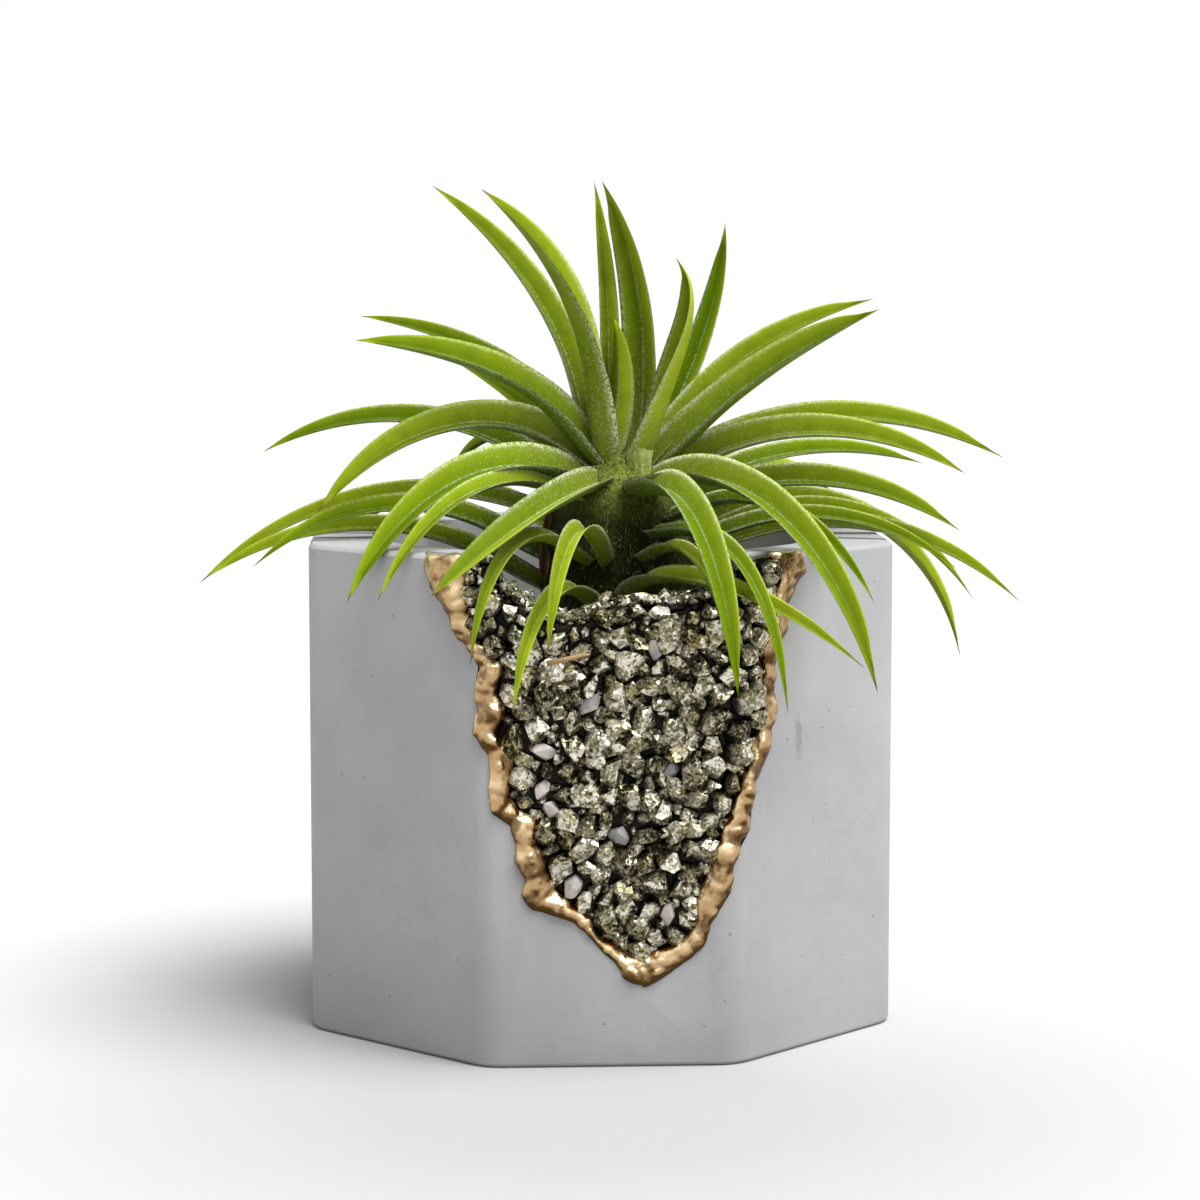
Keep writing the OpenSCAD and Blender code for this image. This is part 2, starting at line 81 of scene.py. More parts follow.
def length(name, description, default):
    return bpy.props.FloatProperty(
        name=name, description=description, unit="LENGTH", min=0, precision=5, default=default)


def number(name, description, default):
    return bpy.props.FloatProperty(name=name, description=description, default=default)


def angle(name, description, degrees):
    return bpy.props.FloatProperty(
        name=name, description=description, subtype="ANGLE", default=math.radians(degrees))


def count(name, description, default, **limits):
    return bpy.props.IntProperty(name=name, description=description, default=default, **limits)


class PotLook(bpy.types.PropertyGroup):
    """The cast concrete."""

    concrete: colour("Concrete", "Colour of the dry concrete", (0.42, 0.42, 0.425))
    stain: colour("Stain", "Colour of its darker clouds", (0.34, 0.34, 0.345))
    bloom: colour("Bloom", "Colour of its paler clouds", (0.5, 0.5, 0.5))
    pinhole: length("Pinhole", "Spacing of the larger air holes", 12 * MM)
    edge_round: length("Edge", "Radius that handling leaves on an edge", 0.35 * MM)


class GeodeLook(bpy.types.PropertyGroup):
    """The crushed stone and the resin that holds it."""

    resin: colour("Resin", "Colour of the dark resin", (0.009, 0.006, 0.003))
    # The dull and bright facets are partly the stone's own random tone and partly painted dark
    # reflections and painted glints
    chip_dark: colour("Dark facet", "Colour of a dull facet", (0.014, 0.012, 0.006))
    chip_mid: colour("Facet", "Colour of most facets", (0.27, 0.24, 0.135))
    chip_light: colour("Bright facet", "Colour of a bright facet", (0.8, 0.77, 0.66))
    chip_brassy: colour("Brassy facet", "Colour of a brassy facet", (0.34, 0.28, 0.12))
    pebble: colour("Pebble", "Colour of the pale pebbles", (0.66, 0.59, 0.54))
    chip_radius: length("Chip", "Radius of the largest chips", 1.65 * MM)
    chip_cuts: count("Cuts", "Flat facets cut on a chip", 15, min=4, max=20)
    seed: count("Seed", "Start of the chips' random draws", 11)


class GildingLook(bpy.types.PropertyGroup):
    """The gold leaf round the recess."""

    gold: colour("Gold", "Colour of the gold leaf", (0.51, 0.335, 0.165))
    # The shine colour is a painted highlight on bulges and up-facing sides; the folds' colour is
    # painted shade in the folds and on down-facing sides, and painted dark reflections in patches
    shine: colour("Shine", "Colour of the leaf where it bulges", (0.9, 0.7, 0.42))
    shade_and_reflection_brown: colour("Brown", "Colour of the leaf in its folds", (0.1, 0.05, 0.014))
    amber: colour("Amber", "Colour where resin shows through", (0.16, 0.055, 0.01))
    lump: length("Lump", "How far the edge swells and sinks", 0.7 * MM)
    lump_size: length("Lump size", "Width of a swelling", 4.2 * MM)
    fineness: length("Fineness", "Width of the faces that the edge is made of", 0.25 * MM)


class PlantLook(bpy.types.PropertyGroup):
    """The air plant."""

    leaf_mid: colour("Leaf", "Colour of a full leaf", (0.175, 0.29, 0.002))
    # Leaf light also paints light on the half of a leaf that faces the main lamp, and leaf dark
    # paints shade on the other half, in the channel and at deep bases; both also give leaves their
    # own tone and mottle
    leaf_light: colour("Leaf light", "Colour of its lit margins", (0.42, 0.52, 0.022))
    leaf_dark: colour("Leaf dark", "Colour of its dark half", (0.05, 0.09, 0.001))
    young: colour("Young leaf", "Colour of a young leaf", (0.32, 0.4, 0.012))
    tip: colour("Tip", "Colour of a dried tip", (0.25, 0.1, 0.04))
    scurf: colour("Scurf", "Colour of the pale scurf on the bulb and the stub", (0.6, 0.64, 0.3))
    scale: colour("Scales", "Colour of the scales on a leaf", (0.8, 0.82, 0.66))
    olive: colour("Olive", "Colour of felted leaf bases", (0.24, 0.29, 0.035))
    bulb: colour("Bulb", "Colour of the bulb", (0.016, 0.026, 0.004))
    straw: colour("Straw", "Colour of withered leaves", (0.42, 0.27, 0.12))
    blade_width: number("Blade width", "Width of a finished blade as a share of its solid's", 1.22)
    blunt: number("Blunt", "How much of its width a blade keeps towards its tip", 0.3)
    base_flare: number("Base flare", "How much wider a leaf grows towards the bulb", 0.5)
    crown_depth: length("Crown depth", "Depth at which leaf bases lie in the dark", 9 * MM)
    sheath_width: length("Sheath", "Width of the sheath below a leaf", 9.5 * MM)
    sheath_length: length("Sheath length", "Length of the sheath below a leaf", 13 * MM)
    scale_size: length("Scale", "Width of a scale that stands off a leaf", 0.1 * MM)
    scales_per_leaf: count("Scales", "Scales that stand off one leaf", 420, min=0, max=600)
    seed: count("Seed", "Start of the plant's random draws", 5)


class StageLook(bpy.types.PropertyGroup):
    """Camera, lamps and floor."""

    camera_place: bpy.props.FloatVectorProperty(
        name="Camera", description="Where the camera stands", subtype="TRANSLATION", unit="LENGTH",
        size=3, default=(-0.02164, -0.43464, 0.1006))
    camera_pitch: angle("Pitch", "How far the camera looks down", 6.05)
    camera_yaw: angle("Yaw", "How far the camera turns", -2.91)
    lens: number("Lens", "Focal length on a 36 mm sensor, in millimetres", 97.7)
    floor: colour("Floor", "Colour of the floor", (0.63, 0.63, 0.63))
    # Painted shadow: the floor is painted darker in a pool round this place in front of the pot, out
    # to the size below
    shadow_pool_place: bpy.props.FloatVectorProperty(
        name="Pool", description="Middle of the darker floor in front of the pot",
        subtype="TRANSLATION", unit="LENGTH", size=3, default=(-0.005, -0.055, 0))
    pool_size: length("Pool size", "How far the darker floor reaches", 0.1)
    ambient: number("Ambient", "Strength of the light from all round", 0.46)
    key: number("Key", "Strength of the main lamp, in watts a square metre", 4.35)
    key_way: bpy.props.FloatVectorProperty(
        name="Key from", description="Way to the main lamp", subtype="DIRECTION", size=3,
        default=(0.55, -0.33, 1.36))
    key_spread: angle("Key spread", "How wide the main lamp looks from the pot", 46)


class PlanterLooks(bpy.types.PropertyGroup):
    """All the looks that a user may change."""

    pot: bpy.props.PointerProperty(type=PotLook)
    geode: bpy.props.PointerProperty(type=GeodeLook)
    gilding: bpy.props.PointerProperty(type=GildingLook)
    plant: bpy.props.PointerProperty(type=PlantLook)
    stage: bpy.props.PointerProperty(type=StageLook)


# Meshes


def merged_copy(node):
    """A bmesh of one CAD node with its loose triangles joined."""
    bm = bmesh.new()
    bm.from_mesh(frame["nodes"][node].data)
    bmesh.ops.remove_doubles(bm, verts=bm.verts, dist=MERGE)
    return bm


def append(bm, part, **face_values):
    """Adds the mesh of part to bm, with a value on each of its faces for each named layer."""
    first = len(bm.faces)
    mesh = bpy.data.meshes.new("part")
    part.to_mesh(mesh)
    part.free()
    bm.from_mesh(mesh)
    bpy.data.meshes.remove(mesh)
    bm.faces.ensure_lookup_table()
    for name, value in face_values.items():
        layer = bm.faces.layers.float[name]
        for face in bm.faces[first:]:
            face[layer] = value() if callable(value) else value


def new_object(name, data):
    made = bpy.data.objects.new(name, data)
    bpy.context.scene.collection.objects.link(made)
    return made


def new_solid(name, bm, material):
    """An object of bm, which is used up."""
    mesh = bpy.data.meshes.new(name)
    bm.to_mesh(mesh)
    bm.free()
    mesh.materials.append(material)
    return new_object(name, mesh)


def new_piece(name, bm, material, body, replaced=(), smooth=True, levels=0):
    """A piece of bm that rides on a body and stands for the replaced nodes."""
    for face in bm.faces:
        face.smooth = smooth
    piece = new_solid(name, bm, material)
    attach(piece, body)
    if replaced:
        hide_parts(*replaced)
    if levels:
        finer = piece.modifiers.new("Smooth", "SUBSURF")
        finer.levels = finer.render_levels = levels
    return piece


def bevel(piece, width, segments, **settings):
    """Wears the edges of a piece round."""
    worn = piece.modifiers.new("Worn edges", "BEVEL")
    worn.width = width
    worn.segments = segments
    for key, value in settings.items():
        setattr(worn, key, value)


def middle_of(places):
    return sum(places, Vector()) / len(places)


def upright(way):
    """The turn that takes Z to a way."""
    return way.to_track_quat("Z", "Y").to_matrix().to_4x4()


def tree_of(nodes):
    """A ray-cast tree of several CAD nodes, and the node of each of its faces."""
    corners, polygons, owners = [], [], []
    for node in nodes:
        mesh = frame["nodes"][node].data
        start = len(corners)
        corners += [v.co.copy() for v in mesh.vertices]
        polygons += [[start + i for i in p.vertices] for p in mesh.polygons]
        owners += [node] * len(mesh.polygons)
    return BVHTree.FromPolygons(corners, polygons), owners


def remeshed(bm, width):
    """The same solid in even faces about width across."""
    mesh = bpy.data.meshes.new("even")
    bm.to_mesh(mesh)
    bm.free()
    holder = new_object("even", mesh)
    even = holder.modifiers.new("Even", "REMESH")
    even.mode = "VOXEL"
    even.voxel_size = width
    found = bmesh.new()
    found.from_object(holder, bpy.context.evaluated_depsgraph_get())
    bpy.data.objects.remove(holder)
    bpy.data.meshes.remove(mesh)
    return found


# Materials


def shaded(tint, part):
    """A colour at a share of its strength."""
    return [part * c for c in tint]


class Nodes:
    """Places the nodes of one tree. Each input is a value or another node's socket."""

    def __init__(self, tree):
        self.tree = tree
        self.place = None

    def feed(self, sockets, values):
        for key, value in values.items():
            if isinstance(value, bpy.types.NodeSocket):
                self.tree.links.new(value, sockets[key])
            else:
                sockets[key].default_value = value

    def add(self, kind, inputs=None, **settings):
        """Adds a node and gives back its outputs."""
        made = self.tree.nodes.new("ShaderNode" + kind)
        for key, value in settings.items():
            setattr(made, key, value)
        self.feed(made.inputs, inputs or {})
        return made.outputs

    def mix(self, factor, first, second):
        """Mixes two colours."""
        first, second = [
            c if isinstance(c, bpy.types.NodeSocket) else (*c, 1) for c in (first, second)]
        return self.add("Mix", {0: factor, 6: first, 7: second}, data_type="RGBA")[2]

    def coats(self, base, *coats):
        """Lays coats over a colour, each a mask and its colour."""
        for mask, tint in coats:
            base = self.mix(mask, base, tint)
        return base

    def ramp(self, value, low, high, to_low=0.0, to_high=1.0):
        """Stretches the range from low to high of a value to another range, and clamps it."""
        return self.add("MapRange", {
            "Value": value, "From Min": low, "From Max": high, "To Min": to_low, "To Max": to_high,
        })["Result"]

    def math(self, operation, first, second=0.0):
        return self.add("Math", {0: first, 1: second}, operation=operation)[0]

    def times(self, first, second):
        return self.math("MULTIPLY", first, second)

    def vector(self, operation, inputs):
        return self.add("VectorMath", inputs, operation=operation)

    def noise(self, scale, detail, roughness, place=None):
        return self.add("TexNoise", {
            "Vector": place or self.place, "Scale": scale, "Detail": detail, "Roughness": roughness,
        })["Fac"]

    def cloud(self, width, detail=3.0, roughness=0.55, place=None):
        """Noise whose clouds are about width metres across."""
        return self.noise(1 / width, detail, roughness, place)

    def cells(self, scale):
        return self.add("TexVoronoi", {"Vector": self.place, "Scale": scale})

    def squeezed(self, scale, rotation=(0, 0, 0), location=(0, 0, 0)):
        """The place, moved, turned and scaled along each axis."""
        return self.add("Mapping", {
            "Vector": self.place, "Scale": scale, "Rotation": rotation, "Location": location})[0]

    def relief(self, height, depth, strength=1.0, below=None):
        """A bump of a height from 0 to 1 that is depth metres high."""
        inputs = {"Height": height, "Distance": depth, "Strength": strength}
        if below is not None:
            inputs["Normal"] = below
        return self.add("Bump", inputs)["Normal"]

    def attribute(self, name):
        return self.add("Attribute", attribute_name=name)["Fac"]

    def group(self, name, **inputs):
        """Places a shared group, which is made the first time that it is asked for."""
        made = self.tree.nodes.new("ShaderNodeGroup")
        made.node_tree = bpy.data.node_groups.get(name) or GROUP_MAKERS[name](name)
        self.feed(made.inputs, {"Place": self.place, **inputs})
        return made.outputs


class Finish(Nodes):
    """A material in the making, on Object coordinates."""

    def __init__(self, name, **uniform):
        """Sets the shader's own sockets to uniform, with _ for a space in their names."""
        self.material = bpy.data.materials.new(name)
        self.material.use_nodes = True
        super().__init__(self.material.node_tree)
        self.place = self.add("TexCoord")["Object"]
        self.shader = self.tree.nodes["Principled BSDF"].inputs
        self.feed(self.shader, {key.replace("_", " "): value for key, value in uniform.items()})

    def done(self, tint, **others):
        """The material, with its colour and what else changes over the surface."""
        self.feed(self.shader, {"Base Color": tint, **others})
        return self.material


def new_group(name, inputs, outputs):
    """A group's nodes with its inputs and outputs, all floats apart from a vector called Place."""
    group = bpy.data.node_groups.new(name, "ShaderNodeTree")
    for socket, in_out in [(s, "INPUT") for s in inputs] + [(s, "OUTPUT") for s in outputs]:
        kind = "NodeSocketVector" if socket == "Place" else "NodeSocketFloat"
        group.interface.new_socket(name=socket, in_out=in_out, socket_type=kind)
    nodes = Nodes(group)
    entry = group.nodes.new("NodeGroupInput").outputs
    nodes.place = entry["Place"]
    return nodes, entry, group.nodes.new("NodeGroupOutput").inputs


def facets_group(name):
    """Small flat facets, each with a tone of its own and tilted its own way."""
    nodes, entry, leave = new_group(name, ["Place", "Scale"], ["Tone", "Height"])
    cells = nodes.cells(entry["Scale"])
    offset = nodes.vector("SUBTRACT", {0: nodes.place, 1: cells["Position"]})["Vector"]
    spread = nodes.vector("SCALE", {0: offset, "Scale": entry["Scale"]})["Vector"]
    tilt = nodes.vector("SUBTRACT", {0: cells["Color"], 1: (0.5, 0.5, 0.5)})["Vector"]
    nodes.feed(leave, {
        "Height": nodes.vector("DOT_PRODUCT", {0: spread, 1: tilt})["Value"],
        "Tone": nodes.add("SeparateColor", {"Color": cells["Color"]})["Red"]})
    return nodes.tree


def scurf_group(name):
    """Pale scales: small spots that gather where Cover is high."""
    nodes, entry, leave = new_group(name, ["Place", "Scale", "Cover"], ["Mask"])
    cells = nodes.cells(entry["Scale"])
    draw = nodes.add("SeparateColor", {"Color": cells["Color"]})
    kept = nodes.math("LESS_THAN", draw["Red"], entry["Cover"])
    reach = nodes.ramp(draw["Green"], 0, 1, 0.3, 0.6)
    spot = nodes.ramp(nodes.math("SUBTRACT", reach, cells["Distance"]), 0, 0.15)
    nodes.feed(leave, {"Mask": nodes.times(kept, spot)})
    return nodes.tree


def grain_group(name):
    """A fine even grain with wider clouds in it, as cast and dried things have."""
    nodes, entry, leave = new_group(name, ["Place", "Scale"], ["Tone", "Height"])
    nodes.feed(leave, {
        "Height": nodes.noise(entry["Scale"], 6.0, 0.7),
        "Tone": nodes.noise(nodes.times(entry["Scale"], 0.04), 5.0, 0.6)})
    return nodes.tree


GROUP_MAKERS = {"small facets": facets_group, "pale scurf": scurf_group, "grain": grain_group}
# Middle of the dent in the right front face, in millimetres, and how much it is squeezed each way
DENT = (24.0, -29.8, 39.9)
DENT_SHAPE = (1.5, 1.5, 0.32)


def concrete_material(look):
    mat = Finish("cast concrete", Specular_IOR_Level=0.3)
    grain = mat.group("grain", Scale=2600.0)
    streaks = mat.squeezed((1, 1, 0.06), (0, math.radians(35), 0))
    scratch = mat.ramp(mat.cloud(1.2 * MM, 2.0, place=streaks), 0.68, 0.74, 0, 0.35)
    smudge = mat.times(
        mat.ramp(mat.cloud(2.5 * MM, 6.0, 0.7), 0.5, 0.64),
        mat.ramp(mat.cloud(18 * MM, 2.0), 0.48, 0.62, 0, 0.3))
    hole = mat.ramp(mat.cells(1 / look.pinhole)["Distance"], 0.02, 0.035, 0.8, 0)
    speck = mat.ramp(mat.cells(3 / look.pinhole)["Distance"], 0.03, 0.06, 0.3, 0)
    dent = mat.squeezed(DENT_SHAPE, location=[-c * k * MM for c, k in zip(DENT, DENT_SHAPE)])
    wobble = mat.ramp(mat.cloud(1.5 * MM), 0.3, 0.7, -0.4 * MM, 0.4 * MM)
    far = mat.math("ADD", mat.vector("LENGTH", {0: dent})["Value"], wobble)
    # The air holes, specks and the dent are coated darker below, which is painted shade in these
    # hollows, as well as their bump
    pits = mat.math(
        "MAXIMUM", mat.math("MAXIMUM", hole, speck), mat.ramp(far, 0.5 * MM, 1.1 * MM, 0.35, 0))
    tone = mat.mix(mat.ramp(mat.cloud(22 * MM, 4.0), 0.35, 0.65), look.stain, look.bloom)
    tone = mat.coats(
        tone, (0.55, look.concrete),
        (mat.ramp(grain["Height"], 0.3, 0.7, 0, 0.35), look.stain),
        (mat.times(scratch, mat.ramp(mat.cloud(16 * MM, 1.0), 0.5, 0.6)), look.stain),
        (smudge, look.stain), (pits, shaded(look.stain, 0.45)))
    surface = mat.relief(grain["Height"], 0.05 * MM, 0.6)
    surface = mat.relief(mat.cloud(5 * MM), 0.12 * MM, 0.5, surface)
    surface = mat.relief(mat.math("SUBTRACT", 1.0, pits), 0.3 * MM, 1.0, surface)
    return mat.done(tone, Roughness=mat.ramp(grain["Tone"], 0.3, 0.7, 0.62, 0.85), Normal=surface)


def resin_material(look):
    mat = Finish("dark resin", Specular_IOR_Level=0.12)
    flow = mat.cloud(1.6 * MM)
    amber = shaded(look.resin, 6)
    return mat.done(
        mat.mix(mat.ramp(flow, 0.5, 0.75), look.resin, amber),
        Roughness=mat.ramp(flow, 0.3, 0.7, 0.2, 0.4), Normal=mat.relief(flow, 0.5 * MM))


def chip_material(look):
    mat = Finish("crushed pyrite", Specular_IOR_Level=0.6, Metallic=0.9)
    small = mat.group("small facets", Scale=1 / (0.7 * MM))
    tiny = mat.group("small facets", Scale=1 / (0.32 * MM))
    chip = mat.attribute("tone")
    # Tones drawn at random for each facet, small cell and chip; ramped to dull and bright facets
    # they are partly the stone's own tone and partly painted dark reflections and painted glints
    light = mat.times(mat.attribute("facet"), 0.26)
    for tone, weight in ((small["Tone"], 0.24), (tiny["Tone"], 0.3), (chip, 0.2)):
        light = mat.math("ADD", light, mat.times(tone, weight))
    brassy = mat.mix(mat.ramp(mat.attribute("brass"), 0.82, 1.0), look.chip_mid, look.chip_brassy)
    tint = mat.coats(
        look.chip_dark, (mat.ramp(light, 0.28, 0.48), brassy),
        (mat.ramp(light, 0.52, 0.67), look.chip_light),
        # Painted shade: each chip takes the resin's colour towards its foot, where it meets the
        # resin
        (mat.ramp(mat.attribute("rise"), 0.5, 1.1, 0.95, 0), look.resin))
    height = mat.times(tiny["Height"], mat.ramp(chip, 0.2, 0.8, 0.35, 1.0))
    surface = mat.relief(height, 0.2 * MM, 0.7, mat.relief(small["Height"], 0.7 * MM, 0.7))
    return mat.done(tint, Roughness=mat.ramp(tiny["Tone"], 0, 1, 0.15, 0.4), Normal=surface)


def pebble_material(look):
    mat = Finish(
        "pale quartz", Subsurface_Weight=0.1, Subsurface_Radius=(0.6 * MM, 0.5 * MM, 0.5 * MM))
    grain = mat.group("grain", Scale=3500.0)["Height"]
    grey = 3 * [0.5 * look.pebble[1]]
    tint = mat.coats(
        shaded(look.pebble, 0.72), (mat.ramp(mat.cloud(0.9 * MM), 0.35, 0.65), look.pebble),
        (mat.ramp(mat.cloud(7 * MM, 0.0), 0.44, 0.5, 0, 0.8), grey))
    return mat.done(
        tint, Roughness=mat.ramp(grain, 0.3, 0.7, 0.3, 0.55), Normal=mat.relief(grain, 0.06 * MM))


def gold_material(look):
    mat = Finish("gold leaf", Metallic=1.0)
    clouds = mat.cloud(1.8 * MM, 4.0)
    crumple = mat.ramp(mat.cloud(1.1 * MM, 5.0, 0.65), 0.3, 0.7, -0.14, 0.14)
    # The value read here is higher on lobes and on sides that face up and to the right, so these
    # take the painted highlight, and folds and down-facing sides the painted shade
    bulge_and_painted_light = mat.math("ADD", mat.attribute("lobe_and_painted_light"), crumple)
    bare = mat.math("ADD", mat.attribute("inner"), mat.ramp(clouds, 0.3, 0.7, -0.4, 0.4))
    tint = mat.coats(
        look.shade_and_reflection_brown, (mat.ramp(bulge_and_painted_light, 0.08, 0.45), look.gold),
        (mat.ramp(bulge_and_painted_light, 0.6, 1.05), look.shine), (mat.ramp(bare, 0.45, 0.75), look.amber),
        # Painted dark reflections: patches of the folds' colour in clouds
        (mat.ramp(mat.cloud(3.5 * MM, 5.0), 0.53, 0.6, 0, 0.7), look.shade_and_reflection_brown))
    surface = mat.relief(mat.cloud(0.9 * MM, 3.0), 0.3 * MM, 0.55)
    surface = mat.relief(mat.group("grain", Scale=5000.0)["Height"], 0.03 * MM, 0.6, surface)
    return mat.done(tint, Roughness=mat.ramp(clouds, 0.3, 0.7, 0.16, 0.36), Normal=surface)


def leaf_material(look, name, body):
    """A leaf of a body colour with painted shade on the half away from the main lamp, in its channel
    and at deep bases, painted light on the other half, and scurf near its base and on its edges.
    """
    mat = Finish(
        name, Specular_IOR_Level=0.05, Subsurface_Weight=0.05,
        Subsurface_Radius=(0.5 * MM, 0.8 * MM, 0.1 * MM))
    along, margin, half, tone, shade = [mat.attribute(value) for value in LEAF_VALUES]
    mottle = mat.ramp(mat.cloud(2.2 * MM, 4.0), 0.35, 0.7)
    # Painted shade: the felt at a leaf's base is darker the deeper the base lies in the crown
    felt = mat.mix(shade, look.olive, shaded(look.leaf_dark, 0.5))
    dried = mat.times(mat.ramp(along, 0.93, 1.0, 0, 0.85), mat.ramp(tone, 0.4, 0.7))
    cover = mat.ramp(along, 0.05, 0.55, 0.32, 0.0)
    scales = mat.group("pale scurf", Scale=1 / (0.15 * MM), Cover=cover)["Mask"]
    fold = mat.ramp(mat.math("ABSOLUTE", half), 0.03, 0.16, 0.6, 0)
    fringe = mat.math("MAXIMUM", mat.ramp(margin, 0.62, 0.95), fold)
    fringe = mat.times(fringe, mat.ramp(along, 0.1, 0.9, 0.85, 0.0))
    tufts = mat.ramp(mat.cloud(0.35 * MM), 0.42, 0.58)
    tint = mat.coats(
        body, (tone, mat.mix(0.75, body, look.leaf_light)),
        (mat.times(mottle, 0.3), look.leaf_dark),
        # Painted shade in the channel, fading towards the margins
        (mat.ramp(margin, 0.0, 0.5, 0.3, 0), look.leaf_dark),
        # Painted shade on the half that faces away from the main lamp, and painted light on the half
        # that faces it
        (mat.ramp(half, -0.12, 0.1, 0.5, 0), look.leaf_dark),
        (mat.ramp(half, 0.0, 0.9, 0, 0.4), look.leaf_light),
        (mat.ramp(along, 0.02, 0.32, 0.5, 0), felt), (dried, look.tip),
        (mat.times(scales, 0.6), look.scale), (mat.times(fringe, tufts), look.scale))
    surface = mat.relief(mat.cloud(0.5 * MM, 3.0), 0.05 * MM, 0.6)
    surface = mat.relief(scales, 0.05 * MM, 0.8, surface)
    return mat.done(tint, Roughness=mat.ramp(mottle, 0, 1, 0.34, 0.52), Normal=surface)


def stub_material(look):
    mat = Finish("felted stub", Specular_IOR_Level=0.2)
    felt = mat.cloud(0.5 * MM, 5.0, 0.7)
    return mat.done(
        mat.mix(mat.ramp(felt, 0.35, 0.7), shaded(look.leaf_light, 0.6), look.scurf),
        Roughness=mat.ramp(felt, 0.3, 0.7, 0.6, 0.85), Normal=mat.relief(felt, 0.25 * MM))


def bulb_material(look):
    """Dark below, green felt on the dome, and streaks and pale scurf all over."""
    mat = Finish("scurfy bulb", Specular_IOR_Level=0.05)
    clouds = mat.cloud(2.4 * MM, 4.0)
    lines = mat.squeezed((1, 1, 0.3))
    height = mat.add("SeparateXYZ", {"Vector": mat.place})["Z"]
    top = plant_axis().z
    fuzz = mat.ramp(mat.cloud(0.22 * MM, 5.0, 0.75, lines), 0.54, 0.66, 0, 0.4)
    cover = mat.ramp(clouds, 0.5, 0.75, 0.0, 0.35)
    scales = mat.group("pale scurf", Scale=1 / (0.3 * MM), Cover=cover)["Mask"]
    tint = mat.coats(
        shaded(look.bulb, 0.35), (mat.ramp(clouds, 0.35, 0.65), look.bulb),
        (mat.ramp(mat.cloud(5 * MM, 2.0), 0.42, 0.6, 0.8, 0), shaded(look.straw, 0.035)),
        (mat.ramp(mat.cloud(0.9 * MM, place=lines), 0.55, 0.7, 0, 0.3), look.leaf_dark),
        (mat.ramp(height, top - 9 * MM, top - 1 * MM), look.olive),
        (mat.ramp(mat.cloud(0.4 * MM, 5.0, 0.75, lines), 0.44, 0.58, 0.75, 0), look.bulb),
        (mat.times(fuzz, mat.ramp(clouds, 0.38, 0.6, 0.1, 1.0)), look.scurf),
        (mat.ramp(mat.attribute("margin"), 0.75, 1.0, 0, 0.45), shaded(look.scurf, 0.3)),
        (mat.times(scales, 0.4), look.scurf))
    surface = mat.relief(mat.cloud(0.9 * MM, place=lines), 0.3 * MM, 0.7)
    surface = mat.relief(scales, 0.1 * MM, 0.7, surface)
    return mat.done(tint, Roughness=mat.ramp(clouds, 0.3, 0.7, 0.5, 0.75), Normal=surface)


def dry_material(look, name, dark):
    """Withered leaf; dark is the colour of its folds as a share of the straw's."""
    mat = Finish(name, Specular_IOR_Level=0.25)
    grain = mat.group("grain", Scale=2500.0)["Height"]
    fibres = mat.ramp(mat.cloud(0.7 * MM, place=mat.squeezed((1, 1, 0.2))), 0.45, 0.75, 0, 0.75)
    return mat.done(
        mat.mix(fibres, shaded(look.straw, dark), look.straw),
        Roughness=mat.ramp(grain, 0.3, 0.7, 0.55, 0.8), Normal=mat.relief(grain, 0.08 * MM))


def scale_material(look):
    mat = Finish("standing scales", Specular_IOR_Level=0.4)
    clouds = mat.cloud(0.8 * MM)
    tint = mat.mix(mat.ramp(clouds, 0.4, 0.6), shaded(look.scale, 0.6), look.scale)
    return mat.done(tint, Roughness=mat.ramp(clouds, 0.4, 0.6, 0.35, 0.6))


def floor_material(look):
    """Darker in a pool in front of the pot: a painted shadow."""
    mat = Finish("studio floor", Specular_IOR_Level=0.0, Roughness=0.95)
    from_shadow_pool = mat.vector("DISTANCE", {0: mat.place, 1: look.shadow_pool_place})["Value"]
    far = mat.ramp(from_shadow_pool, 0.25 * look.pool_size, look.pool_size)
    # The painted shadow is the floor colour at 0.74 of its strength, fading out between a quarter of
    # the pool's size and its size
    return mat.done(mat.mix(far, shaded(look.floor, 0.74), look.floor))


# The pot

# Least angle at which an edge is worn, and at which one stays sharp
WORN_ANGLE = math.radians(35)
SHARP_ANGLE = math.radians(30)


class PLANTER_OT_pot(bpy.types.Operator):
    """Dress the cast pot: worn edges and a concrete finish"""

    bl_idname = "planter.pot"
    bl_label = "Cast pot"

    def execute(self, context):
        look = context.scene.planter_looks.pot
        bm = merged_copy("pot")
        bmesh.ops.dissolve_limit(
            bm, angle_limit=math.radians(1), use_dissolve_boundaries=False,
            verts=bm.verts, edges=bm.edges)
        piece = new_piece("cast_pot", bm, concrete_material(look), "pot", ["pot"])
        bevel(piece, look.edge_round, 2, limit_method="ANGLE", angle_limit=WORN_ANGLE,
              harden_normals=False)
        context.view_layer.objects.active = piece
        piece.select_set(True)
        bpy.ops.object.shade_auto_smooth(angle=SHARP_ANGLE)
        piece.select_set(False)
        return {"FINISHED"}


# The geode

# How far off the search for the seat of a chip and of a pebble starts
SEARCH_FROM = 20 * MM
PEBBLE_SEARCH_FROM = 50 * MM
# A seat has to face the search: this is the most that its normal may point along it
FACING = -0.4
# Share of a stone's radius within which there is resin all round
FOOTING = 0.55
# How far from a leaf a stone lies, in its own radii
LEAF_ROOM = 2.0
# Pebbles that lie between the model's stones, to the right of the pot's middle and above the floor,
# in millimetres
MORE_PEBBLES = ((1.1, 29.1), (7.1, 19.2), (5.5, 52.4))
# Radii of the pebbles in millimetres, and in a pebble's own radii the ring that chips keep clear
# of and how far its middle stands proud
PEBBLE_RADII = (0.9, 1.35)
PEBBLE_RING = 1.3
PEBBLE_SINK = 0.6
# How far the edges of a pebble are rounded
PEBBLE_ROUND = 0.25 * MM
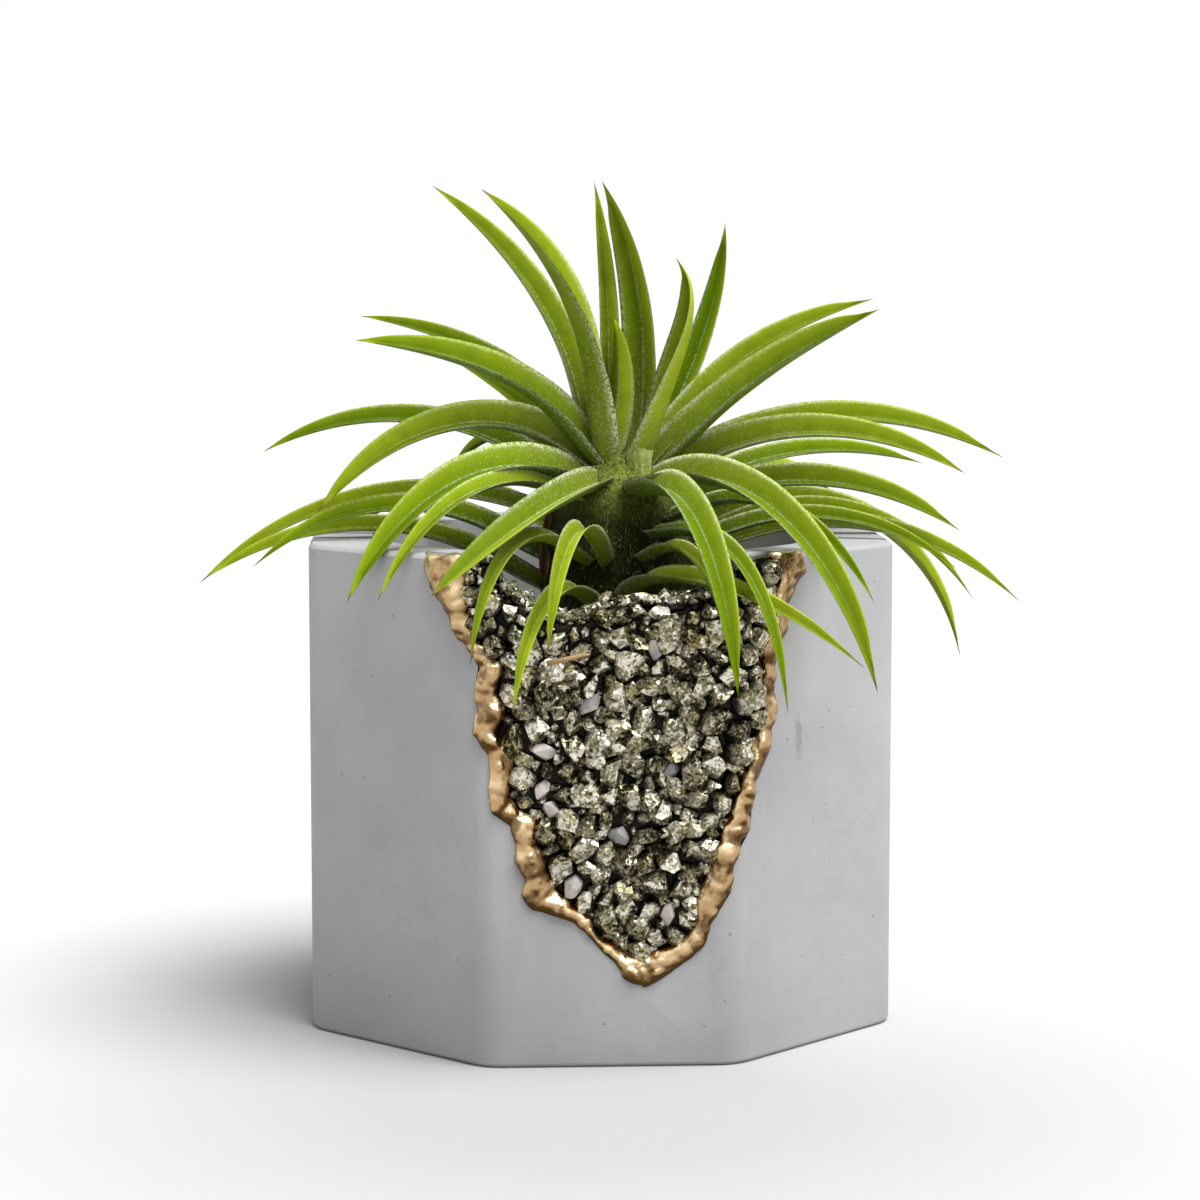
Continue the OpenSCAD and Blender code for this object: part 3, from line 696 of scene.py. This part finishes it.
# Radius of the chips of one round as a share of the largest, tries, and how close they may lie
CHIP_ROUNDS = (
    (1.0, 1800, 0.74), (0.82, 4000, 0.73), (0.64, 6000, 0.73), (0.46, 6000, 0.76),
    (0.34, 5000, 0.8))
# Spread of the radii in a round, and how far the middle of a chip stands proud, in its radii
CHIP_SPREAD = (0.85, 1.12)
CHIP_SINK = (0.4, 0.6)
# Size of the chips on the lip and its cheeks, as a share of those in the recess
LIP_SIZE = 0.75
# Heights above the lip's lowest stone between which the stones of its front edge are sought
LIP_BAND = (1.2 * MM, 3.4 * MM)
# How far the search falls on its way to a cheek of the dip, as a share of its way sideways
CHEEK_FALL = 0.35


def cut_chip(rng, cuts):
    """A block of about unit radius with flat facets cut on it at random."""
    bm = bmesh.new()
    bmesh.ops.create_cube(bm, size=2)
    for _ in range(cuts):
        way = Vector([rng.gauss(0, 1) for _ in range(3)]).normalized()
        bmesh.ops.bisect_plane(
            bm, geom=bm.verts[:] + bm.edges[:] + bm.faces[:], plane_co=way * rng.uniform(0.7, 0.98),
            plane_no=way, clear_outer=True)
        rim = [e for e in bm.edges if e.is_boundary]
        bmesh.ops.holes_fill(bm, edges=rim, sides=0)
    return bm


def seated(rng, seat, radius, part, sink):
    """Turns, stretches and moves a unit stone to its seat on the resin."""
    place, normal = seat
    turn = Euler([rng.uniform(0, math.tau) for _ in range(3)]).to_matrix().to_4x4()
    stretch = Matrix.Diagonal((rng.uniform(0.95, 1.3), rng.uniform(0.8, 1.05), 0.9, 1))
    spin = Matrix.Rotation(rng.uniform(0, math.tau), 4, "Z")
    move = Matrix.Translation(place + normal * radius * sink)
    matrix = move @ upright(normal) @ spin @ stretch @ turn @ Matrix.Scale(radius, 4)
    bmesh.ops.transform(part, matrix=matrix, verts=part.verts)


class Bed:
    """The resin's bed, on which stones are set down one by one without covering each other."""

    def __init__(self, look):
        self.look = look
        self.rng = random.Random(look.seed)
        self.low, self.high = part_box("resin_bed")
        self.tree, self.owners = tree_of(
            ["resin_bed", "gold_left", "gold_tip", "gold_right", "gold_lip", "pot"])
        self.leaves = tree_of(LEAF_NODES)[0]
        self.set_down = []

    def look_at(self, start, way):
        """Where a ray first meets the resin, with the surface's normal, or None."""
        place, normal, index, _ = self.tree.ray_cast(start, way)
        if place is None or self.owners[index] != "resin_bed" or normal.dot(way) > FACING:
            return None
        return place, normal

    def free(self, place, radius, closeness):
        return all(
            (place - other).length > closeness * (radius + reach) for other, reach in self.set_down)

    def try_stone(self, start, way, radius, closeness):
        """The place and normal for a stone there, if it lies on resin all round and is free."""
        found = self.look_at(start, way)
        if found is None or not self.free(found[0], radius, closeness):
            return None
        if self.leaves.find_nearest(found[0])[3] < LEAF_ROOM * radius:
            return None
        side = way.orthogonal().normalized()
        for step in range(6):
            reach = Matrix.Rotation(step * math.pi / 3, 3, way) @ side * radius * FOOTING
            if self.look_at(start + reach, way) is None:
                return None
        self.set_down.append((found[0], radius))
        return found

    def pebbles(self):
        """Pebbles where the model has its pale stones, and a few between its other stones."""
        rng = random.Random(self.look.seed + 1)
        bm = bmesh.new()
        cad = merged_copy("quartz_stones")
        places = [middle_of([v.co for v in island]) for island in islands(cad)]
        cad.free()
        places += [Vector((x * MM, self.low.y, z * MM)) for x, z in MORE_PEBBLES]
        for middle in places:
            radius = rng.uniform(*PEBBLE_RADII) * MM
            start = Vector((middle.x, middle.y - PEBBLE_SEARCH_FROM, middle.z))
            seat = self.try_stone(start, FRONT, radius, 0)
            if seat is None:
                continue
            self.set_down[-1] = (seat[0], PEBBLE_RING * radius)
            part = cut_chip(rng, self.look.chip_cuts)
            seated(rng, seat, radius, part, PEBBLE_SINK)
            append(bm, part)
        return bm

    def chips(self, way, low, high, size):
        """Chips where rays from a box meet the bed, large ones first and small ones in the gaps."""
        rng = self.rng
        bm = bmesh.new()
        for name in ("tone", "brass", "facet"):
            bm.faces.layers.float.new(name)
        bm.verts.layers.float.new("rise")
        for part_size, tries, closeness in CHIP_ROUNDS:
            for _ in range(tries):
                radius = self.look.chip_radius * size * part_size * rng.uniform(*CHIP_SPREAD)
                start = Vector([rng.uniform(*ends) for ends in zip(low, high)]) - way * SEARCH_FROM
                seat = self.try_stone(start, way, radius, closeness)
                if seat is None:
                    continue
                part = cut_chip(rng, self.look.chip_cuts)
                seated(rng, seat, radius, part, rng.uniform(*CHIP_SINK))
                # How far each vertex stands above the chip's seat, which the chip material turns
                # into painted shade at its foot
                rise = part.verts.layers.float.new("rise")
                for vert in part.verts:
                    vert[rise] = (vert.co - seat[0]).dot(seat[1]) / radius
                append(bm, part, tone=rng.random(), brass=rng.random(), facet=rng.random)
        return bm


class PLANTER_OT_geode(bpy.types.Operator):
    """Set the pale pebbles and the crushed stone into the dark resin"""

    bl_idname = "planter.geode"
    bl_label = "Crushed stone"

    def execute(self, context):
        look = context.scene.planter_looks.geode
        resin = frame["nodes"]["resin_bed"].data.materials
        resin.clear()
        resin.append(resin_material(look))
        bed = Bed(look)
        piece = new_piece(
            "pale_pebbles", bed.pebbles(), pebble_material(look), "pot",
            ["quartz_stones"])
        bevel(piece, PEBBLE_ROUND, 3, limit_method="NONE")
        chips = chip_material(look)
        low, high = bed.low, bed.high
        lip, lip_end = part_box("pyrite_lip")
        # For each stretch of chips: its name, the way to look, the box to look from, size and nodes
        stretches = (
            ("edge_chips", FRONT + DOWN, (lip.x, low.y, lip.z + LIP_BAND[0]),
             (lip_end.x, low.y, lip.z + LIP_BAND[1]), LIP_SIZE, ()),
            ("lip_chips", DOWN, (lip.x, low.y, high.z), (lip_end.x, high.y, high.z), LIP_SIZE,
             ["pyrite_lip"]),
            ("geode_chips", FRONT, low, (high.x, low.y, high.z), 1.0,
             ["pyrite_upper", "pyrite_middle", "pyrite_lower"]),
            ("left_cheek_chips", Vector((-1, 0, -CHEEK_FALL)), (low.x, low.y, lip.z),
             (0, high.y, high.z), LIP_SIZE, ()),
            ("right_cheek_chips", Vector((1, 0, -CHEEK_FALL)), (0, low.y, lip.z), high,
             LIP_SIZE, ()))
        for name, way, start, end, size, replaced in stretches:
            bm = bed.chips(way.normalized(), Vector(start), Vector(end), size)
            new_piece(name, bm, chips, "pot", replaced, smooth=False)
        return {"FINISHED"}


def islands(bm):
    """The groups of joined vertices in a bmesh."""
    left = set(bm.verts)
    found = []
    while left:
        group, edge = set(), [next(iter(left))]
        while edge:
            vert = edge.pop()
            if vert in group:
                continue
            group.add(vert)
            edge += [e.other_vert(vert) for e in vert.link_edges]
        left -= group
        found.append(sorted(group, key=lambda v: v.index))
    return sorted(found, key=lambda g: g[0].index)


# The gilded edge


def smooth(bm):
    bmesh.ops.smooth_vert(
        bm, verts=bm.verts, factor=0.5, use_axis_x=True, use_axis_y=True, use_axis_z=True)


class PLANTER_OT_gilding(bpy.types.Operator):
    """Swell the gilded edge into soft lumps and cover it with gold leaf"""

    bl_idname = "planter.gilding"
    bl_label = "Gilded edge"

    def execute(self, context):
        look = context.scene.planter_looks.gilding
        material = gold_material(look)
        low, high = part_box("resin_bed")
        focus = Vector(((low.x + high.x) / 2, low.y, (low.z + high.z) / 2))
        for name, nodes, height in (
                ("gilded_edge", ("gold_left", "gold_tip", "gold_right"), look.lump),
                ("gilded_lip", ("gold_lip",), look.lump / 3)):
            bm = bmesh.new()
            for node in nodes:
                append(bm, merged_copy(node))
            bm = remeshed(bm, look.fineness)
            for _ in range(3):
                smooth(bm)
            self.swell(bm, look, height)
            bm.normal_update()
            inner = bm.verts.layers.float["inner"]
            for vert in bm.verts:
                vert[inner] = max(0.0, vert.normal.dot((focus - vert.co).normalized()))
            new_piece(name, bm, material, "pot", nodes)
        return {"FINISHED"}

    def swell(self, bm, look, height):
        """Round lobes with sharp folds between them, and finer ones on these."""
        bm.verts.layers.float.new("inner")
        lobe_and_painted_light = bm.verts.layers.float.new("lobe_and_painted_light")
        bm.normal_update()
        moves = []
        for vert in bm.verts:
            place = vert.co / look.lump_size
            lobes = abs(noise.noise(place))
            fine = abs(noise.noise(place * 2.3 + Vector((9, 2, 5))))
            wave = noise.noise(place * 0.6 + Vector((5, 1, 7)))
            moves.append(vert.normal * height * (lobes + 0.8 * wave + 0.6 * fine))
        for vert, move in zip(bm.verts, moves):
            vert.co += move
        smooth(bm)
        bm.normal_update()
        # Each vertex's value for painted light and shade: higher where it faces up and away from -X,
        # and on lobes
        for vert in bm.verts:
            lobes = abs(noise.noise(vert.co / look.lump_size))
            vert[lobe_and_painted_light] = 0.3 + 1.2 * vert.normal.z - 0.15 * vert.normal.x + 0.7 * lobes


# The plant

RING_CORNERS = 6
# For each rank across a ring: how near the margin it is, and how sharp the leaf is along it
MARGIN_OF_RANK = (1.0, 0.12, 0.0, 0.0, 0.12, 1.0)
CREASE_OF_RANK = (0.7, 0.2, 0.9, 0.9, 0.2, 0.7)
# Where each rank lies from one margin to the other
HALF_OF_RANK = (-1.0, -0.5, -0.15, 0.15, 0.5, 1.0)
LEAF_VALUES = ("along", "margin", "half", "tone", "shade")
# Shares of a leaf's length over which it flares, and over which it sinks into the bulb
FLARE_LENGTH = 0.3
SINK_LENGTH = 0.1
# How far a leaf's base sinks, as a share of the way to the plant's axis
SINK = 0.3
# How much deeper than its solid a leaf is folded, and how wide its channel and its keel stay
FOLD_DEPTH = 1.5
CHANNEL_WIDTH = 0.3
KEEL_WIDTH = 0.6


def plant_axis():
    """A point on the plant's axis, at the top of the bulb."""
    low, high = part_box("plant_core")
    return Vector(((low.x + high.x) / 2, (low.y + high.y) / 2, high.z))


def rings_from(tip):
    """The vertices of a mesh in rings by their number of steps from one of them."""
    seen = {tip}
    rings = [[tip]]
    while rings[-1]:
        ring = []
        for vert in rings[-1]:
            for link in vert.link_edges:
                other = link.other_vert(vert)
                if other not in seen:
                    seen.add(other)
                    ring.append(other)
        rings.append(ring)
    return rings[:-1]


def label_leaf(bm):
    """A leaf's rings, and the number of the ring and the rank across it of each vertex.

    The model's leaf is a tip and a row of six-cornered rings. Across a ring the ranks run from one
    margin, 0, to the other, 5; 1 and 4 are on the underside, 2 and 3 in the channel on top.
    """
    for tip in bm.verts:
        rings = rings_from(tip)
        if all(len(ring) == RING_CORNERS for ring in rings[1:]):
            break
    steps = {vert: k for k, ring in enumerate(rings) for vert in ring}
    ranks = {tip: 0}
    span = None
    for ring in rings[1:]:
        pairs = [(a, b) for a in ring for b in ring]
        first, last = max(pairs, key=lambda p: (p[0].co - p[1].co).length)
        across = last.co - first.co
        if span is not None and across.dot(span) < 0:
            across = -across
        span = across
        ordered = sorted(ring, key=lambda v: v.co.dot(span))
        ranks.update((vert, rank) for rank, vert in enumerate(ordered))
    return rings, steps, ranks


def leaf_layers(bm):
    """The layers of a leaf's values, and those of its sharp edges and its sharp point."""
    values = {name: bm.verts.layers.float.new(name) for name in LEAF_VALUES}
    crease = bm.edges.layers.float.new("crease_edge")
    return values, crease, bm.verts.layers.float.new("crease_vert")


def dressed_leaf(node, rng, look):
    """A leaf from its CAD node, with clean faces, a flared base, a blunt tip and its values."""
    bm = merged_copy(node)
    values, crease, point = leaf_layers(bm)
    rings, steps, ranks = label_leaf(bm)
    last = len(rings) - 1
    tone = rng.random()
    axis = plant_axis()
    low = min(v.co.z for v in rings[-1])
    # How deep the leaf's base lies, for the painted shade on deep bases
    shade = min(1.0, (axis.z - low) / look.crown_depth)
    for vert in bm.verts:
        vert[values["along"]] = 1 - steps[vert] / last
        vert[values["margin"]] = MARGIN_OF_RANK[ranks[vert]]
        vert[values["tone"]] = tone
        vert[values["shade"]] = shade
    rings[0][0][point] = 1.0
    for step, ring in enumerate(rings[1:], 1):
        middle = middle_of([v.co for v in ring])
        along = 1 - step / last
        base = max(0.0, 1 - along / FLARE_LENGTH)
        widen = look.blade_width * (1 + look.base_flare * base + look.blunt * along ** 3)
        inwards = Vector((axis.x - middle.x, axis.y - middle.y, 0))
        sink = inwards * SINK * max(0.0, 1 - along / SINK_LENGTH)
        for vert in ring:
            vert.co = middle + (vert.co - middle) * widen + sink
        pinch(sorted(ring, key=ranks.get))
    # Which half of the leaf takes painted light and which takes painted shade
    way = lit_way(bm, [v for v in ranks if ranks[v] == 0], [v for v in ranks if ranks[v] == 5])
    for vert, rank in ranks.items():
        vert[values["half"]] = HALF_OF_RANK[rank] * way
    diagonals = []
    for edge in bm.edges:
        first, second = edge.verts
        if steps[first] == steps[second]:
            continue
        if ranks[first] == ranks[second]:
            edge[crease] = CREASE_OF_RANK[ranks[first]]
        elif steps[first] > 0 and steps[second] > 0:
            diagonals.append(edge)
    bmesh.ops.dissolve_edges(bm, edges=diagonals, use_verts=False)
    return bm


def pinch(ring):
    """Folds a ring of a leaf along its middle, into a sharp channel above a blunt keel."""
    channel = (ring[2].co + ring[3].co) / 2
    keel = (ring[1].co + ring[4].co) / 2
    deeper = (keel - channel) * FOLD_DEPTH
    for middle, width, pair in (
            (channel, CHANNEL_WIDTH, (ring[2], ring[3])), (keel, KEEL_WIDTH, (ring[1], ring[4]))):
        for vert in pair:
            vert.co = middle.lerp(vert.co, width) + deeper


def lit_way(bm, first, last):
    """1 if the margin of the last rank faces the main lamp more than that of the first, or -1."""
    bm.normal_update()
    lamp = Vector(bpy.context.scene.planter_looks.stage.key_way)
    first_lit, last_lit = [sum(v.normal.dot(lamp) for v in verts) for verts in (first, last)]
    return 1 if last_lit > first_lit else -1


class PLANTER_OT_leaves(bpy.types.Operator):
    """Grow the leaves: channelled blades with pale bases, lit margins and dried tips"""

    bl_idname = "planter.leaves"
    bl_label = "Leaves"

    def execute(self, context):
        look = context.scene.planter_looks.plant
        rng = random.Random(look.seed)
        fresh = leaf_material(look, "fresh leaf", look.leaf_mid)
        young = leaf_material(look, "young leaf", look.young)
        grown = [node for node in LEAF_NODES if node not in YOUNG_NODES]
        groups = [
            (side, [node for node in grown if node.startswith(side)], fresh, "leaf")
            for side in ("crown", "right", "front", "left", "back")]
        for side, nodes, material, slot in groups + [("young", YOUNG_NODES, young, "young_leaf")]:
            bm = bmesh.new()
            leaf_layers(bm)
            for node in sorted(nodes):
                append(bm, dressed_leaf(node, rng, look))
            bmesh.ops.recalc_face_normals(bm, faces=bm.faces)
            new_piece(side + "_leaves", bm, material, "plant", nodes, levels=2)
        return {"FINISHED"}


# How far in from a margin a scale's foot lies, as a share of the way to the faces' middles
RIM_INSET = 0.25
# How far a scale leans at most, in radians, and its height in its own widths
LEAN = 0.9
SCALE_HEIGHT = 2.4


class PLANTER_OT_scales(bpy.types.Operator):
    """Scatter the silvery scales that stand off the leaves"""

    bl_idname = "planter.scales"
    bl_label = "Standing scales"

    def execute(self, context):
        look = context.scene.planter_looks.plant
        rng = random.Random(look.seed + 1)
        bm = bmesh.new()
        for node in LEAF_NODES:
            leaf = dressed_leaf(node, random.Random(0), look)
            tuft = bmesh.new()
            along = leaf.verts.layers.float["along"]
            margin = leaf.verts.layers.float["margin"]
            # Two thirds of the scales stand on the long edges at the margins, the others on faces
            rims = [e for e in leaf.edges if all(v[margin] > 0.9 for v in e.verts)
                    and abs(e.verts[0][along] - e.verts[1][along]) > 0.01]
            lengths = [e.calc_length() for e in rims]
            for edge in rng.choices(rims, weights=lengths, k=look.scales_per_leaf * 2 // 3):
                place = edge.verts[0].co.lerp(edge.verts[1].co, rng.random())
                out = place - middle_of([f.calc_center_median() for f in edge.link_faces])
                foot = place - out * RIM_INSET
                self.stand(tuft, rng, look, foot, out.normalized(), edge.verts[0][along])
            areas = [f.calc_area() for f in leaf.faces]
            for face in rng.choices(leaf.faces[:], weights=areas, k=look.scales_per_leaf // 3):
                parts = [rng.random() + 0.05 for _ in face.verts]
                total = sum(parts)
                place = sum((v.co * s / total for v, s in zip(face.verts, parts)), Vector())
                self.stand(tuft, rng, look, place, face.normal, face.verts[0][along])
            leaf.free()
            append(bm, tuft)
        new_piece("leaf_scales", bm, scale_material(look), "plant", smooth=False)
        return {"FINISHED"}

    def stand(self, bm, rng, look, place, way, along):
        """A pointed scale on a leaf; towards the tip there are fewer."""
        if rng.random() < 1.6 * along - 0.1:
            return
        size = look.scale_size * rng.uniform(0.6, 1.4)
        lean = Euler(
            (rng.uniform(-LEAN, LEAN), rng.uniform(-LEAN, LEAN), rng.uniform(0, 6))).to_matrix()
        bmesh.ops.create_cone(
            bm, cap_ends=True, cap_tris=True, segments=3, radius1=size * 0.5, radius2=0,
            depth=size * SCALE_HEIGHT,
            matrix=Matrix.Translation(place) @ upright(way) @ lean.to_4x4())


# Width of the bulb's faces, and how far its skin swells and how wide
BULB_FACE = 0.7 * MM
BULB_SWELL = 0.5 * MM
BULB_WAVE = 3 * MM
# The bulb's radius where a ray misses it, and the least radius that a sheath curves round
MISSED_RADIUS = 0.5 * MM
LEAST_CURVE = 3 * MM
SHEATH_THICKNESS = 0.45 * MM
# Middle of the stub from the top of the bulb, its radii and length, and the size of its ragged rim
STUB_PLACE = Vector((2.5, -3.2, -1.7)) * MM
STUB_RADII = (1.7 * MM, 1.6 * MM)
STUB_LENGTH = 6 * MM
STUB_RIM = 1.6 * MM
# Ends of the fallen leaf tip, in millimetres, and its radii there
FALLEN_TIP = ((-3.2, -38.9, 51.9), (-8.1, -39.2, 50.8))
FALLEN_RADII = (0.2 * MM, 0.4 * MM)


class PLANTER_OT_bulb(bpy.types.Operator):
    """Finish the bulb with its leaf sheaths, the crown's stub, the roots and the withered leaves"""

    bl_idname = "planter.bulb"
    bl_label = "Bulb and roots"

    def execute(self, context):
        look = context.scene.planter_looks.plant
        rng = random.Random(look.seed + 2)
        self.core = tree_of(["plant_core"])[0]
        self.axis = plant_axis()
        bm = remeshed(merged_copy("plant_core"), BULB_FACE)
        bm.verts.layers.float.new("margin")
        low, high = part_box("plant_core")
        bm.normal_update()
        for vert in bm.verts:
            rise = (vert.co.z - low.z) / (high.z - low.z)
            swell = BULB_SWELL * noise.noise(vert.co / BULB_WAVE)
            vert.co += vert.normal * swell * min(1.0, 3 * rise)
        for node in LEAF_NODES:
            append(bm, self.sheath(node, rng, look))
        bmesh.ops.recalc_face_normals(bm, faces=bm.faces)
        new_piece("bulb", bm, bulb_material(look), "plant", ["plant_core"])
        new_piece("crown_stub", self.stub(), stub_material(look), "plant", levels=1)
        dry = dry_material(look, "withered leaf", 0.18)
        leaf = dressed_leaf("dry_leaf", random.Random(look.seed), look)
        new_piece("withered_leaf", leaf, dry, "plant", ["dry_leaf"], levels=2)
        straw = dry_material(look, "straw", 0.9)
        new_piece("fallen_tip", self.fallen(), straw, "pot")
        new_piece("wiry_roots", merged_copy("roots"), dry, "plant", ["roots"], levels=1)
        return {"FINISHED"}

    def fallen(self):
        """A withered leaf tip that has fallen on the stones."""
        start, end = [Vector(place) * MM for place in FALLEN_TIP]
        bm = bmesh.new()
        bmesh.ops.create_cone(
            bm, cap_ends=True, segments=8, radius1=FALLEN_RADII[0], radius2=FALLEN_RADII[1],
            depth=(end - start).length,
            matrix=Matrix.Translation((start + end) / 2) @ upright(end - start))
        return bm

    def radius(self, height, bearing):
        """The bulb's radius at a height and bearing."""
        start = Vector((self.axis.x, self.axis.y, height))
        way = Vector((math.cos(bearing), math.sin(bearing), 0))
        place = self.core.ray_cast(start, way)[0]
        return (place - start).length if place else MISSED_RADIUS

    def sheath(self, node, rng, look):
        """The broad scale below a leaf, which clasps the bulb."""
        leaf = merged_copy(node)
        start = middle_of([v.co for v in label_leaf(leaf)[0][-1]])
        leaf.free()
        axis = self.axis
        bearing = math.atan2(start.y - axis.y, start.x - axis.x)
        bm = bmesh.new()
        margin = bm.verts.layers.float.new("margin")
        bmesh.ops.create_grid(bm, x_segments=8, y_segments=10, size=1)
        lift = (0.4 + 16 * (axis.z - start.z)) * MM * rng.uniform(0.7, 1.1)
        reach = look.sheath_length * rng.uniform(0.8, 1.2)
        for vert in bm.verts:
            across, down = vert.co.x, (1 - vert.co.y) / 2
            bow = math.sin(math.pi * min(1.0, 0.25 + 0.6 * down))
            half = look.sheath_width / 2 * (0.35 + 0.65 * bow)
            height = start.z + 1 * MM - reach * down
            turned = bearing + across * half / max(self.radius(height, bearing), LEAST_CURVE)
            belly = lift * (1 - 0.75 * across * across) * math.sin(math.pi * (0.15 + 0.8 * down))
            out = self.radius(height, turned) + belly
            vert[margin] = abs(across)
            vert.co = (axis.x + out * math.cos(turned), axis.y + out * math.sin(turned), height)
        bmesh.ops.solidify(bm, geom=bm.faces[:], thickness=SHEATH_THICKNESS)
        return bm

    def stub(self):
        """The felted stub of a cut stalk in the middle of the crown, with a ragged rim."""
        middle = self.axis + STUB_PLACE
        bm = bmesh.new()
        bmesh.ops.create_cone(
            bm, cap_ends=True, segments=14, radius1=STUB_RADII[0], radius2=STUB_RADII[1],
            depth=STUB_LENGTH, matrix=Matrix.Translation(middle))
        bmesh.ops.subdivide_edges(bm, edges=bm.edges, cuts=3, use_grid_fill=True)
        top = max(v.co.z for v in bm.verts)
        for vert in bm.verts:
            ragged = noise.noise(vert.co / (0.6 * MM))
            high = max(0.0, 1 - (top - vert.co.z) / STUB_RIM)
            spread = Vector((vert.co.x - middle.x, vert.co.y - middle.y, 0))
            vert.co += spread * (0.25 * ragged + 0.35 * high)
            vert.co.z += 0.8 * MM * ragged * high
        return bm


# Floor, lamps and camera

# Half the floor's width, and how far it lies below the pot
FLOOR_SIZE = 6
FLOOR_DROP = 0.02 * MM
# Width of the camera's sensor in millimetres, and the nearest that it sees
SENSOR = 36
NEAREST = 0.01


class PLANTER_OT_stage(bpy.types.Operator):
    """Set up the floor, the lamps, the white surroundings and the camera"""

    bl_idname = "planter.stage"
    bl_label = "Stage"

    def execute(self, context):
        look = context.scene.planter_looks.stage
        bm = bmesh.new()
        bmesh.ops.create_grid(bm, x_segments=1, y_segments=1, size=FLOOR_SIZE)
        bmesh.ops.translate(bm, verts=bm.verts, vec=(0, 0, -FLOOR_DROP))
        new_solid("floor", bm, floor_material(look))
        self.surroundings(context, look)
        key = bpy.data.lights.new("key", "SUN")
        key.energy = look.key
        key.angle = look.key_spread
        lamp = new_object("key", key)
        lamp.rotation_euler = Vector(look.key_way).to_track_quat("Z", "Y").to_euler()
        camera = new_object("camera", bpy.data.cameras.new("camera"))
        camera.location = look.camera_place
        camera.rotation_euler = (math.pi / 2 - look.camera_pitch, 0, look.camera_yaw)
        camera.data.lens = look.lens
        camera.data.sensor_width = SENSOR
        camera.data.clip_start = NEAREST
        context.scene.camera = camera
        context.scene.view_settings.view_transform = "Standard"
        return {"FINISHED"}

    def surroundings(self, context, look):
        """White to the camera and in reflections, and a plain even light to all else."""
        world = bpy.data.worlds.new("surroundings")
        world.use_nodes = True
        nodes = Nodes(world.node_tree)
        path = nodes.add("LightPath")
        seen = nodes.math("MAXIMUM", path["Is Camera Ray"], path["Is Glossy Ray"])
        seen = nodes.math("MAXIMUM", seen, path["Is Transmission Ray"])
        nodes.feed(world.node_tree.nodes["Background"].inputs, {
            "Color": (1, 1, 1, 1), "Strength": nodes.ramp(seen, 0, 1, look.ambient, 1.0)})
        context.scene.world = world


class PLANTER_PT_panel(bpy.types.Panel):
    """Lists the planter's pieces in the sidebar"""

    bl_label = "Geode planter"
    bl_idname = "PLANTER_PT_panel"
    bl_space_type = "VIEW_3D"
    bl_region_type = "UI"
    bl_category = "Planter"

    def draw(self, context):
        looks = context.scene.planter_looks
        for group in (looks.pot, looks.geode, looks.gilding, looks.plant, looks.stage):
            box = self.layout.box()
            for name in group.bl_rna.properties.keys():
                if name not in ("rna_type", "name"):
                    box.prop(group, name)
        for operator in OPERATORS:
            self.layout.operator(operator.bl_idname)


OPERATORS = (
    PLANTER_OT_pot, PLANTER_OT_geode, PLANTER_OT_gilding, PLANTER_OT_leaves, PLANTER_OT_scales,
    PLANTER_OT_bulb, PLANTER_OT_stage)
CLASSES = (PotLook, GeodeLook, GildingLook, PlantLook, StageLook, PlanterLooks) + OPERATORS + (
    PLANTER_PT_panel,)


def register():
    for cls in CLASSES:
        bpy.utils.register_class(cls)
    bpy.types.Scene.planter_looks = bpy.props.PointerProperty(type=PlanterLooks)


def unregister():
    del bpy.types.Scene.planter_looks
    for cls in reversed(CLASSES):
        bpy.utils.unregister_class(cls)


def main():
    register()
    bpy.ops.planter.stage()
    bpy.ops.planter.pot()
    bpy.ops.planter.gilding()
    bpy.ops.planter.geode()
    bpy.ops.planter.leaves()
    bpy.ops.planter.scales()
    bpy.ops.planter.bulb()


if __name__ == "__main__":
    main()
